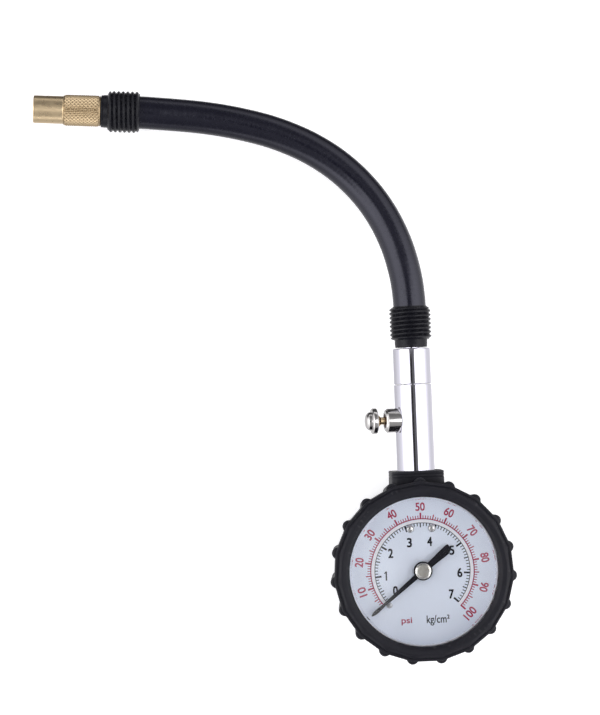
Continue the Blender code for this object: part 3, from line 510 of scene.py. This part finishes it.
def build_boot_neck(finish):
    """The square sleeve of the boot round the foot of the stem."""
    around = 144
    angles = np.arange(around) * TAU / around
    x, z = np.cos(angles), np.sin(angles)
    square = (np.abs(x / NECK_HALF[0]) ** 8 + np.abs(z / NECK_HALF[1]) ** 8) ** (-1 / 8)
    hole = 6.65
    sections = [
        (24.0, 1.0), (27.6, 1.05), (28.2, 1.02), (28.8, 1.005), (29.6, 1.0), (31.0, 1.0),
        (31.15, 0.985), (31.3, 0.985), (31.45, 1.0), (32.0, 1.0), (32.15, 0.985),
        (32.3, 0.985), (32.45, 1.0), (NECK_Y - 0.3, 1.0), (NECK_Y - 0.08, 0.99), (NECK_Y, 0.965),
    ]
    rows = [np.stack((x * square * scale, np.full(around, y), z * square * scale + STEM_Z), axis=1)
            for y, scale in sections]
    for y, radius in ((NECK_Y, 7.35), (NECK_Y - 0.1, 6.9), (NECK_Y - 0.5, hole), (24.0, hole)):
        rows.append(np.stack((x * radius, np.full(around, y), z * radius + STEM_Z), axis=1))
    neck = skin("boot_neck", np.array(rows), Matrix.Identity(4), finish, sharp=40)
    piece(neck, "housing", "boot_rubber", "rubber_boot")


# ---------------------------------------------------------------- dial

def solid_polygon(bm, points, low, high):
    """A flat solid between two heights. The points go round anticlockwise."""
    bottom = [bm.verts.new((x * MM, y * MM, low * MM)) for x, y in points]
    top = [bm.verts.new((x * MM, y * MM, high * MM)) for x, y in points]
    bm.faces.new(top)
    bm.faces.new(bottom[::-1])
    for k in range(len(points)):
        after = (k + 1) % len(points)
        bm.faces.new((bottom[k], bottom[after], top[after], top[k]))


def dial_angle(psi):
    return ZERO_ANGLE + FULL_ANGLE * psi / 100


def print_tick(bm, psi, radii, width, heights):
    """A radial mark on the dial at a psi value."""
    angle = math.radians(dial_angle(psi))
    out = np.array((math.sin(angle), math.cos(angle)))
    side = np.array((math.cos(angle), -math.sin(angle)))
    inner, outer = radii
    half = width / 2
    solid_polygon(bm, [out * inner + side * half, out * outer + side * half,
                       out * outer - side * half, out * inner - side * half], *heights)


def print_arc(bm, radii, psi_range, heights):
    """A thin curved band on the dial."""
    steps = 160
    low, high = (math.radians(dial_angle(p)) for p in psi_range)
    for step in range(steps):
        a, b = (low + (high - low) * (step + k) / steps for k in (0, 1))
        corners = [(radii[0], a), (radii[0], b), (radii[1], b), (radii[1], a)]
        solid_polygon(bm, [(r * math.sin(t), r * math.cos(t)) for r, t in corners], *heights)


def print_text(bm, text, size, centre, turn, heights, bold=0.0):
    """Adds a text of a given width and height in mm, turned anticlockwise by turn degrees."""
    curve = bpy.data.curves.new("letters", "FONT")
    curve.body = text
    curve.extrude = 0.5
    source = link_object("letters", curve)
    bpy.context.view_layer.update()
    mesh = bpy.data.meshes.new_from_object(source.evaluated_get(
        bpy.context.evaluated_depsgraph_get()))
    points = np.array([v.co for v in mesh.vertices])
    low, high = points.min(0), points.max(0)
    scale = [(size[0] - 2 * bold) / (high[0] - low[0]), (size[1] - 2 * bold) / (high[1] - low[1]),
             heights[1] - heights[0]]
    middle = (low + high) / 2
    rise = (heights[0] + heights[1]) / 2
    shape = (Matrix.Diagonal((*scale, 1.0)) @ Matrix.Translation(-Vector(middle)))
    corners = ((-1, -1), (-1, 1), (1, -1), (1, 1)) if bold else ((0, 0),)
    for x, y in corners:
        copy = mesh.copy()
        copy.transform(Matrix.Scale(MM, 4) @ Matrix.Translation((*centre, rise))
                       @ Matrix.Rotation(math.radians(turn), 4, "Z")
                       @ Matrix.Translation((x * bold, y * bold, (x + 2 * y) * 0.001)) @ shape)
        bm.from_mesh(copy)
        bpy.data.meshes.remove(copy)
    bpy.data.objects.remove(source)
    bpy.data.meshes.remove(mesh)


def print_piece(name, bm, finish):
    mesh = bpy.data.meshes.new(name)
    bm.to_mesh(mesh)
    bm.free()
    obj = link_object(name, mesh)
    obj.data.materials.append(finish.material)
    piece(obj, "housing", "dial_white")


def build_dial(finishes):
    top = DIAL_TOP
    plate = revolve("dial_face", rounded([
        (0.0, top - 0.5), (DIAL_R, top - 0.5, 0.1), (DIAL_R, top, 0.15), (0.0, top),
    ]), Matrix.Identity(4), finishes["dial"], 160)
    piece(plate, "housing", "dial_white", "dial_plate")
    heights = (top - 0.02, top + 0.03)

    white = bmesh.new()
    print_arc(white, (15.9, 16.7), (FIRST_MARK, 100), (top - 0.02, top + 0.015))
    print_piece("print_white", white, finishes["white"])

    red = bmesh.new()
    print_arc(red, (16.95, 17.3), (FIRST_MARK, 100), heights)
    for psi in range(FIRST_MARK, 101):
        if psi % 10 == 0:
            print_tick(red, psi, (17.0, 19.1), 0.55, heights)
        elif psi % 5 == 0:
            print_tick(red, psi, (17.1, 18.8), 0.36, heights)
        else:
            print_tick(red, psi, (17.1, 18.2), 0.27, heights)
    for psi in range(10, 101, 10):
        flipped = psi == 100
        centre = clock(21.1, dial_angle(psi))
        turn = -dial_angle(psi) + (180 if flipped else 0)
        print_text(red, str(psi), (4.3 if flipped else 3.1, 2.75), centre, turn, heights, 0.07)
    print_text(red, "psi", (3.5, 2.5), (-5.85, -16.5), 0, heights, 0.04)
    print_piece("print_red", red, finishes["red"])

    black = bmesh.new()
    print_arc(black, (15.66, 15.86), (FIRST_MARK, 7 * PSI_PER_KG), heights)
    for tenth in range(FIRST_MARK, 71):
        psi = tenth / 10 * PSI_PER_KG
        if tenth % 10 == 0:
            print_tick(black, psi, (13.7, 15.8), 0.6, heights)
        elif tenth % 5 == 0:
            print_tick(black, psi, (14.3, 15.8), 0.36, heights)
        else:
            print_tick(black, psi, (14.7, 15.8), 0.28, heights)
    for number, (radius, angle) in enumerate(KG_NUMBERS):
        x, y = clock(radius, angle)
        if number == 1:
            solid_polygon(black, [(x + a, y + b) for a, b in PLAIN_ONE], *heights)
        else:
            print_text(black, str(number), (1.65, 3.1), (x, y), 0, heights, 0.1)
    print_text(black, "kg/cm²", (7.6, 3.4), (4.55, -16.5), 0, heights, 0.03)
    print_piece("print_black", black, finishes["black"])


def build_dial_hardware(finishes):
    for side, (x, y) in zip(("left", "right"), DIAL_SCREWS):
        place = Matrix.Translation((x * MM, y * MM, 0))
        screw = revolve(f"dome_screw_{side}", rounded([
            (0.0, 17.5), (0.75, 17.5, 0.1), (0.75, 21.65, 0.05), (1.3, 21.65, 0.05),
            (1.3, 21.95, 0.15), (0.9, 22.45, 0.5), (0.0, 22.65),
        ]), place, finishes["screw"], 48, sharp=60)
        piece(screw, "housing", "screw_steel", f"dial_screw_{side}")
    x, y = clock(STOP_PIN_R, ZERO_ANGLE)
    pin = revolve("rest_pin", rounded([
        (0.0, 20.9), (0.5, 20.9), (0.5, 21.62), (1.0, 21.62, 0.04), (1.0, 21.85, 0.08),
        (0.5, 21.9, 0.1), (0.5, 23.9, 0.12), (0.0, 24.0),
    ]), Matrix.Translation((x * MM, y * MM, 0)), finishes["pin"], 40)
    piece(pin, "housing", "screw_steel", "zero_stop_pin")
    liner = revolve("dial_liner", rounded([
        (24.55, 21.9), (24.85, 21.9), (24.85, 25.4, 0.05), (24.55, 25.4, 0.1),
    ]), Matrix.Identity(4), finishes["white"], 160)
    piece(liner, "housing", "dial_white", "dial_ring")
    lens = revolve("window_lens", rounded([
        (0.0, 25.7), (25.9, 25.7, 0.1), (25.9, 26.5, 0.1), (24.3, 26.5, 0.1), (23.95, 27.4, 0.1),
        (0.0, 27.4),
    ]), Matrix.Identity(4), finishes["lens"], 192)
    lens.visible_shadow = False
    piece(lens, "housing", "lens_clear", "lens")


# ---------------------------------------------------------------- pointer

def build_pointer(finishes):
    """The needle and its counterweight, made along +Y and then turned to its rest."""
    stations = [  # distance from the hub, half width, height of the ridge
        (-12.0, 0.5, 0.1), (-11.4, 1.15, 0.28), (-10.4, 1.42, 0.36), (-8.6, 1.36, 0.4),
        (-5.0, 1.12, 0.42), (-1.0, 0.95, 0.45), (3.0, 0.86, 0.45), (10.0, 0.68, 0.42),
        (17.1, 0.52, 0.37), (18.8, 0.58, 0.4), (20.0, 0.68, 0.44), (21.0, 0.62, 0.42),
        (22.1, 0.4, 0.3), (22.6, 0.12, 0.1),
    ]
    slant = {-12.0: 0.65, -11.4: 0.3}
    rows = []
    for y, half, ridge in stations:
        shift = slant.get(y, 0.0)
        section = [(-half, 0.0), (-half, 0.08), (-half * 0.45, ridge * 0.82), (0.0, ridge),
                   (half * 0.45, ridge * 0.82), (half, 0.08), (half, 0.0)]
        rows.append([(x + shift, y, NEEDLE_Z + z) for x, z in section])
    grid = np.array(rows, float)
    ends = [np.repeat(grid[k].mean(0)[None], grid.shape[1], axis=0) for k in (0, -1)]
    grid = np.vstack((ends[0][None], grid, ends[1][None]))
    turn = Matrix.Rotation(math.radians(-REST_ANGLE), 4, "Z")
    needle = skin("needle_blade", grid, turn, finishes["pointer"], ring=False, sharp=15)
    piece(needle, "pointer", "pointer_black", "pointer_needle")
    hub = revolve("needle_hub", rounded([
        (0.6, 22.5), (2.0, 22.5, 0.1), (2.0, 23.1, 0.1), (3.15, 23.1, 0.1), (3.15, 23.85, 0.25),
        (0.6, 23.95),
    ]), turn, finishes["pointer"], 96)
    piece(hub, "pointer", "pointer_black", "pointer_needle")
    cap = revolve("hub_cap", rounded([
        (0.0, 24.0), (2.7, 24.0, 0.08), (2.7, 24.55, 0.22), (2.05, 24.8, 0.15), (1.9, 24.62, 0.1),
        (0.0, 24.62),
    ]), turn, finishes["cap"], 96)
    piece(cap, "pointer", "cap_silver", "pointer_hub_cap")


# ---------------------------------------------------------------- stem

def stem_frame():
    return axis_frame((0.0, 0.0, STEM_Z), (0.0, 1.0, 0.0))


def bleed_frame():
    tilt = math.radians(BLEED_TILT)
    return axis_frame((0.0, BLEED_Y, STEM_Z), (-math.cos(tilt), 0.0, math.sin(tilt)))


def build_stem(finishes):
    tube = revolve("stem_lower", filled(rounded([
        (3.2, 27.6), (STEM_R, 27.6, 0.3), (STEM_R, 62.2, 0.12), (6.0, 62.25, 0.1), (3.2, 62.15),
    ]), 4.0), stem_frame(), finishes["chrome"], 160)
    hole = revolve("valve_hole", [(4.22, 3.0), (4.22, 12.0), (0.0, 12.0), (0.0, 3.0)],
                   bleed_frame(), finishes["chrome"], 64)
    cut = tube.modifiers.new("valve_hole", "BOOLEAN")
    cut.object, cut.operation, cut.solver = hole, "DIFFERENCE", "EXACT"
    bpy.context.view_layer.update()
    mesh = bpy.data.meshes.new_from_object(tube.evaluated_get(
        bpy.context.evaluated_depsgraph_get()))
    tube.modifiers.clear()
    tube.data = mesh
    bpy.data.objects.remove(hole)
    tube.data.set_sharp_from_angle(angle=math.radians(35))
    piece(tube, "housing", "stem_chrome", "main_tube")
    upper = revolve("stem_upper", rounded([
        (1.5, 58.0), (3.0, 58.0), (3.0, 62.4), (5.9, 62.4, 0.1), (CONNECTOR_R, 62.55, 0.12),
        (CONNECTOR_R, 74.5, 0.4), (2.7, 74.5), (2.7, 75.5), (3.2, 76.0), (2.7, 78.0),
        (2.6, 79.9, 0.2), (1.5, 79.9),
    ]), stem_frame(), finishes["chrome"], 160)
    piece(upper, "housing", "stem_chrome", "hose_connector")


def build_bleed_valve(finishes):
    body = revolve("bleed_boss", rounded([
        (1.45, 4.2), (2.6, 4.2), (4.1, 4.9), (4.1, 9.3, 0.12), (3.75, 9.6, 0.1),
        (3.5, 10.0, 0.15), (2.5, 10.05, 0.15), (2.35, 9.2, 0.1), (1.45, 9.2),
    ]), bleed_frame(), finishes["valve"], 96)
    piece(body, "housing", "valve_chrome", "bleed_valve_body")
    collar = revolve("bleed_grommet", rounded([
        (1.45, 9.25), (2.3, 9.25), (2.3, 9.95, 0.2), (1.9, 10.1, 0.15), (1.45, 10.1, 0.1),
    ]), bleed_frame(), finishes["seal"], 64)
    piece(collar, "housing", "seal_rubber", "bleed_valve_body")
    button = revolve("bleed_plunger", rounded([
        (0.0, 2.2), (2.1, 2.2, 0.1), (2.1, 3.0), (0.8, 3.0), (0.8, 12.5), (2.7, 12.65, 0.1),
        (4.1, 12.8, 0.15), (4.4, 13.1, 0.2), (4.4, 14.3, 0.2),
        (4.1, 14.6, 0.15), (3.15, 14.62, 0.15), (3.15, 15.1, 0.1), (3.0, 15.8, 0.3),
        (2.2, 16.5, 0.6), (1.0, 16.8, 0.4), (0.0, 16.85),
    ]), bleed_frame(), finishes["valve"], 96)
    piece(button, "bleed_button", "valve_chrome", "bleed_button")
    stalk = revolve("bleed_stalk", rounded([
        (0.8, 3.0), (1.25, 3.0, 0.1), (1.25, 11.5, 0.2), (1.6, 11.75, 0.2), (2.3, 12.6, 0.1),
        (0.8, 12.6),
    ]), bleed_frame(), finishes["brass"], 64)
    piece(stalk, "bleed_button", "chuck_brass", "bleed_button")


# ---------------------------------------------------------------- collars, hose, springs, chuck

def thread_relief(start, end, root, pitch, depth=0.65):
    """Adds a rounded right-hand thread outside the root radius, fading out at its ends."""
    def relief(angle, along, radius):
        turn = (along - start) / pitch - angle / TAU
        crest = (0.5 - 0.5 * np.cos(TAU * turn)) ** 0.6
        fade = smoothstep(start, start + 0.7, along) * (1 - smoothstep(end - 0.7, end, along))
        return depth * crest * fade * (radius > root - 0.02)
    return relief


def build_collar(name, place, marks, node, finish, sleeve, pitch):
    """A neck, a threaded barrel and, if there is a sleeve, a plain end over the hose."""
    neck, start, end = marks
    root = COLLAR_ROOT_R
    corners = [(5.0, neck, 0.1), (5.45, neck, 0.35), (5.45, start - 0.1, 0.1), (root - 0.3, start, 0.2)]
    outline = rounded(corners + [(root, start + 0.25), (root, end - 0.25), (root - 0.15, end, 0.1)]
                      + ([(5.8, end, 0.1), (5.8, end + sleeve, 0.2)] if sleeve else [])
                      + [(5.52, end + sleeve, 0.1), (5.52, neck + 1.0)])
    outline = np.vstack((outline, outline[:1]))
    barrel = filled(outline, 0.09)
    threaded = np.abs(barrel[:, 0] - root) < 1e-6
    coarse = [p for k, p in enumerate(barrel)
              if threaded[k] or np.min(np.abs(outline - p).sum(1)) < 1e-9]
    made = revolve(name, coarse[:-1], place, finish, 128, thread_relief(start, end, root, pitch), 60)
    piece(made, "housing", "collar_black", node)


def tube_grid(path, radius, around):
    """Rings of points round a path, carried along it without twist."""
    tangents = np.gradient(path, axis=0)
    tangents /= np.linalg.norm(tangents, axis=1)[:, None]
    side = np.cross(tangents[0], (0.0, 0.0, 1.0))
    rings = []
    angles = np.arange(around) * TAU / around
    for point, tangent in zip(path, tangents):
        side = side - (side @ tangent) * tangent
        side /= np.linalg.norm(side)
        up = np.cross(side, tangent)
        rings.append(point + radius * (np.outer(np.cos(angles), side) + np.outer(np.sin(angles), up)))
    return np.array(rings)


def round_bar(name, path, radius, around, place, finish):
    """A solid round bar along a path in mm, with flat ends."""
    grid = tube_grid(path, radius, around)
    caps = [np.repeat(grid[k].mean(0)[None], around, axis=0)[None] for k in (0, -1)]
    return skin(name, np.vstack((caps[0], grid, caps[1])), place, finish, ring=False)


def build_hose(finish):
    path = smooth_curve(HOSE_ROUTE_M, 12)
    hose = round_bar("hose_line", path / MM, HOSE_R, 64, Matrix.Identity(4), finish)
    steps = np.linalg.norm(np.diff(path, axis=0), axis=1) / MM
    distance = np.concatenate(([0.0], np.cumsum(steps)))
    points = np.array([v.co for v in hose.data.vertices])
    nearest = np.argmin(np.linalg.norm(points[:, None] - path[None], axis=2), axis=1)
    along = hose.data.attributes.new("along_mm", "FLOAT", "POINT")
    along.data.foreach_set("value", distance[nearest].astype(np.float32))
    piece(hose, "housing", "hose_rubber", "hose")
    return hose, path


def chuck_frame():
    angle = math.radians(CHUCK_DIRECTION)
    return axis_frame(CHUCK_FACE, (math.cos(angle), math.sin(angle), 0.0))


def build_spring(name, node, body, place, radius, ends, turns, finish):
    """A coil spring about its place's Z."""
    low, high = ends
    share = np.linspace(0, 1, 24 * turns + 1)
    angle = TAU * turns * share
    path = np.stack((radius * np.cos(angle), radius * np.sin(angle), low + (high - low) * share), 1)
    spring = round_bar(name, path, SPRING_WIRE_R, 12, place, finish)
    piece(spring, body, "spring_steel", node)
    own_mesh(spring)
    return spring


def build_springs(finish):
    build_spring("return_spring", "bleed_spring", "housing", bleed_frame(), 1.3, (-2.4, 1.9), 4,
                 finish)
    return build_spring("valve_spring", "check_spring", "chuck", chuck_frame(), 1.6, (6.6, 9.0), 3,
                        finish)


def build_pressure_tube(finish):
    """The curved, flattened tube in the case."""
    around, steps = 28, 96
    angle = np.arange(around) * TAU / around
    x, z = np.cos(angle), np.sin(angle)
    walls = []
    for inset in (0.0, TUBE_WALL):
        out = (TUBE_HALF[0] - inset) * np.sign(x) * np.abs(x) ** 0.8
        up = (TUBE_HALF[1] - inset) * np.sign(z) * np.abs(z) ** 0.8
        rows = []
        for turn in np.radians(np.linspace(*TUBE_ARC, steps + 1)):
            reach = TUBE_MEAN_R + out
            rows.append(np.stack((reach * math.cos(turn), reach * math.sin(turn),
                                  TUBE_MID_Z + up), axis=1))
        walls.append(np.array(rows))
    grid = np.vstack((walls[0], walls[1][::-1]))
    tube = skin("curved_tube", grid, Matrix.Identity(4), finish)
    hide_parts("bourdon_tube")
    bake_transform(tube)


def knurl_relief(start, end, root, count=24, depth=0.38):
    """Diamond points outside the root radius."""
    pitch = TAU * root / count

    def relief(angle, along, radius):
        a = count * angle / TAU + (along - start) / pitch
        b = count * angle / TAU - (along - start) / pitch
        ridge_a, ridge_b = (1 - np.abs(2 * (v % 1) - 1) for v in (a, b))
        point = np.minimum(ridge_a, ridge_b) * 1.25
        fade = smoothstep(start, start + 0.35, along) * (1 - smoothstep(end - 0.35, end, along))
        return depth * np.clip(point, 0, 1) * fade * (radius > root - 0.02)
    return relief


def build_chuck(finishes):
    place = chuck_frame()
    root, start, end = 4.9, 0.95, 12.8
    outline = rounded([
        (3.3, 0.3, 0.1), (4.3, 0.3, 0.1), (4.9, 0.5, 0.1), (5.2, 0.62, 0.1),
        (root, start), (root, end), (5.1, 12.95, 0.1), (4.74, 13.1, 0.1), (4.68, 13.4),
        (4.68, 23.2, 0.3), (3.95, 23.2, 0.15), (3.95, 13.9), (1.7, 13.9), (1.7, 6.3), (3.3, 6.3),
    ])
    fine = filled(np.array([(root, start), (root, end)]), 0.1)
    first = int(np.argmin(np.abs(outline - (root, start)).sum(1)))
    outline = np.vstack((outline[:first], fine, outline[first + 2:]))
    body = revolve("chuck_shell", outline, place, finishes["brass"], 280,
                   knurl_relief(start, end, root), 40)
    body.data.materials.append(finishes["grip"].material)
    for face in body.data.polygons:  # the knurled grip is the second material
        x, y, z = face.center / MM
        face.material_index = int(0.4 < z < 13.05 and math.hypot(x, y) > 4.6)
    return piece(body, "chuck", "chuck_brass", "chuck_body")


# ---------------------------------------------------------------- carried-over nodes

def dress_frame(finishes):
    """Gives every CAD node that stays its full finish, by the record's slot."""
    by_slot = {
        "case_steel": "case", "seal_rubber": "seal", "screw_steel": "screw",
        "movement_brass": "movement", "tube_bronze": "bronze", "spring_steel": "spring",
        "dark_brass": "dark_brass",
    }
    for part in frame["record"]["subparts"]:
        node = frame["nodes"][part["node"]]
        finish = by_slot.get(part["material_slot"])
        if finish and not node.hide_render:
            node.data.materials.clear()
            node.data.materials.append(finishes[finish].material)


# ---------------------------------------------------------------- studio

def world_light():
    """Two wide soft boxes, left and right, with a dark gap between them straight overhead."""
    world = bpy.data.worlds.new("studio")
    bpy.context.scene.world = world
    world.use_nodes = True
    tree = world.node_tree

    def node(kind, inputs, **settings):
        made = tree.nodes.new(kind)
        for setting, value in settings.items():
            setattr(made, setting, value)
        for socket, value in inputs.items():
            if isinstance(value, bpy.types.NodeSocket):
                tree.links.new(value, made.inputs[socket])
            else:
                made.inputs[socket].default_value = value
        return made

    def calc(operation, a, b=0.0):
        return node("ShaderNodeMath", {0: a, 1: b}, operation=operation).outputs[0]

    def step(value, low, high, to_low, to_high):
        inputs = {0: value, 1: low, 2: high, 3: to_low, 4: to_high}
        return node("ShaderNodeMapRange", inputs, interpolation_type="SMOOTHSTEP").outputs[0]

    direction = node("ShaderNodeTexCoord", {}).outputs["Generated"]
    axes = node("ShaderNodeSeparateXYZ", {0: direction}).outputs
    lateral = calc("MULTIPLY", calc("ARCTAN2", axes[0], axes[2]), 180 / math.pi)
    left = calc("MULTIPLY", lateral, -1.0)
    rise = calc("ABSOLUTE", calc("MULTIPLY", calc("ARCTAN2", axes[1], axes[2]), 180 / math.pi))
    widen = step(rise, 6, 30, 0.0, 26.0)
    boxes = calc("ADD", step(calc("SUBTRACT", left, widen), 15, 21, 0.0, 1.0),
                 step(calc("SUBTRACT", lateral, widen), 8, 14, 0.0, 1.0))
    strip = step(lateral, -7, -2, 0.03, 0.17)
    gap = calc("MAXIMUM", strip, step(rise, 4, 14, 0.0, 0.42))
    sides = calc("MULTIPLY", step(left, 62, 100, 2.4, 1.1), step(left, 95, 142, 1.0, 0.7))
    sides = calc("MULTIPLY", sides, step(lateral, 48, 110, 1.0, 0.4))
    overhead = calc("ADD", calc("MULTIPLY", boxes, sides),
                    calc("MULTIPLY", calc("SUBTRACT", 1.0, boxes), gap))
    dim = step(axes[1], 0.2, 0.75, 1.0, 0.5)
    band = calc("MULTIPLY", step(rise, 98, 106, 0.0, 1.0), step(rise, 134, 146, 1.0, 0.0))
    band = calc("MULTIPLY", band, step(axes[1], 0.3, 0.6, 0.0, 0.85))
    back = calc("MULTIPLY", dim, calc("SUBTRACT", 1.0, band))
    front = step(axes[1], -0.95, -0.5, 0.6, 1.0)
    light = calc("MULTIPLY", overhead, calc("MULTIPLY", back, front))
    background = tree.nodes["Background"]
    background.inputs[0].default_value = (0.985, 0.98, 1.0, 1.0)
    tree.links.new(light, background.inputs[1])


def stage_material(name, colour, glow):
    material = bpy.data.materials.new(name)
    material.use_nodes = True
    shader = material.node_tree.nodes["Principled BSDF"]
    shader.inputs["Base Color"].default_value = (*colour, 1.0)
    shader.inputs["Roughness"].default_value = 1.0
    shader.inputs["Specular IOR Level"].default_value = 0.0
    shader.inputs["Emission Color"].default_value = (1.0, 1.0, 1.0, 1.0)
    shader.inputs["Emission Strength"].default_value = glow
    return material


def add_stage():
    """A plain white floor with a white surround."""
    bm = bmesh.new()
    bmesh.ops.create_circle(bm, cap_ends=True, segments=96, radius=3.0)
    mesh = bpy.data.meshes.new("floor")
    bm.to_mesh(mesh)
    bm.free()
    floor = link_object("floor", mesh)
    floor.location.z = -0.1 * MM
    mesh.materials.append(stage_material("floor_white", (0.85, 0.85, 0.86), 0.55))
    bm = bmesh.new()
    bmesh.ops.create_uvsphere(bm, u_segments=64, v_segments=32, radius=3.2)
    mesh = bpy.data.meshes.new("surround")
    bm.to_mesh(mesh)
    bm.free()
    surround = link_object("surround", mesh)
    mesh.materials.append(stage_material("surround_white", (0.0, 0.0, 0.0), 1.15))
    floor.visible_glossy = False
    surround.visible_glossy = surround.visible_diffuse = surround.visible_transmission = False
    surround.visible_shadow = False


# ---------------------------------------------------------------- the scene

def build():
    add_camera()
    finishes = build_finishes()
    hose, path = build_hose(finishes["hose"])
    chuck = build_chuck(finishes)
    build_collar("collar_lower", stem_frame(), (74.8, 77.45, 88.3), "hose_collar_gauge",
                 finishes["collar"], 0.4, 1.42)
    build_collar("collar_upper", chuck_frame() @ Matrix.Rotation(math.pi, 4, "X"),
                 (-0.35, 1.9, 12.6), "hose_collar_chuck", finishes["collar"], 0.0, 1.55)
    fittings = [bpy.data.objects["collar_upper"], chuck, build_springs(finishes["spring"])]
    fittings += [frame["nodes"][n] for n in ("chuck_barb", "chuck_retaining_ring", "swivel_seal",
                                             "tyre_valve_seal", "check_poppet", "check_seal")]
    build_boot(finishes["boot"])
    build_boot_neck(finishes["boot"])
    build_dial(finishes)
    build_dial_hardware(finishes)
    build_pointer(finishes)
    build_stem(finishes)
    build_bleed_valve(finishes)
    build_pressure_tube(finishes["bronze"])
    dress_frame(finishes)
    world_light()
    add_stage()
    bpy.context.scene.view_settings.view_transform = "Standard"


build()
bpy.context.view_layer.update()
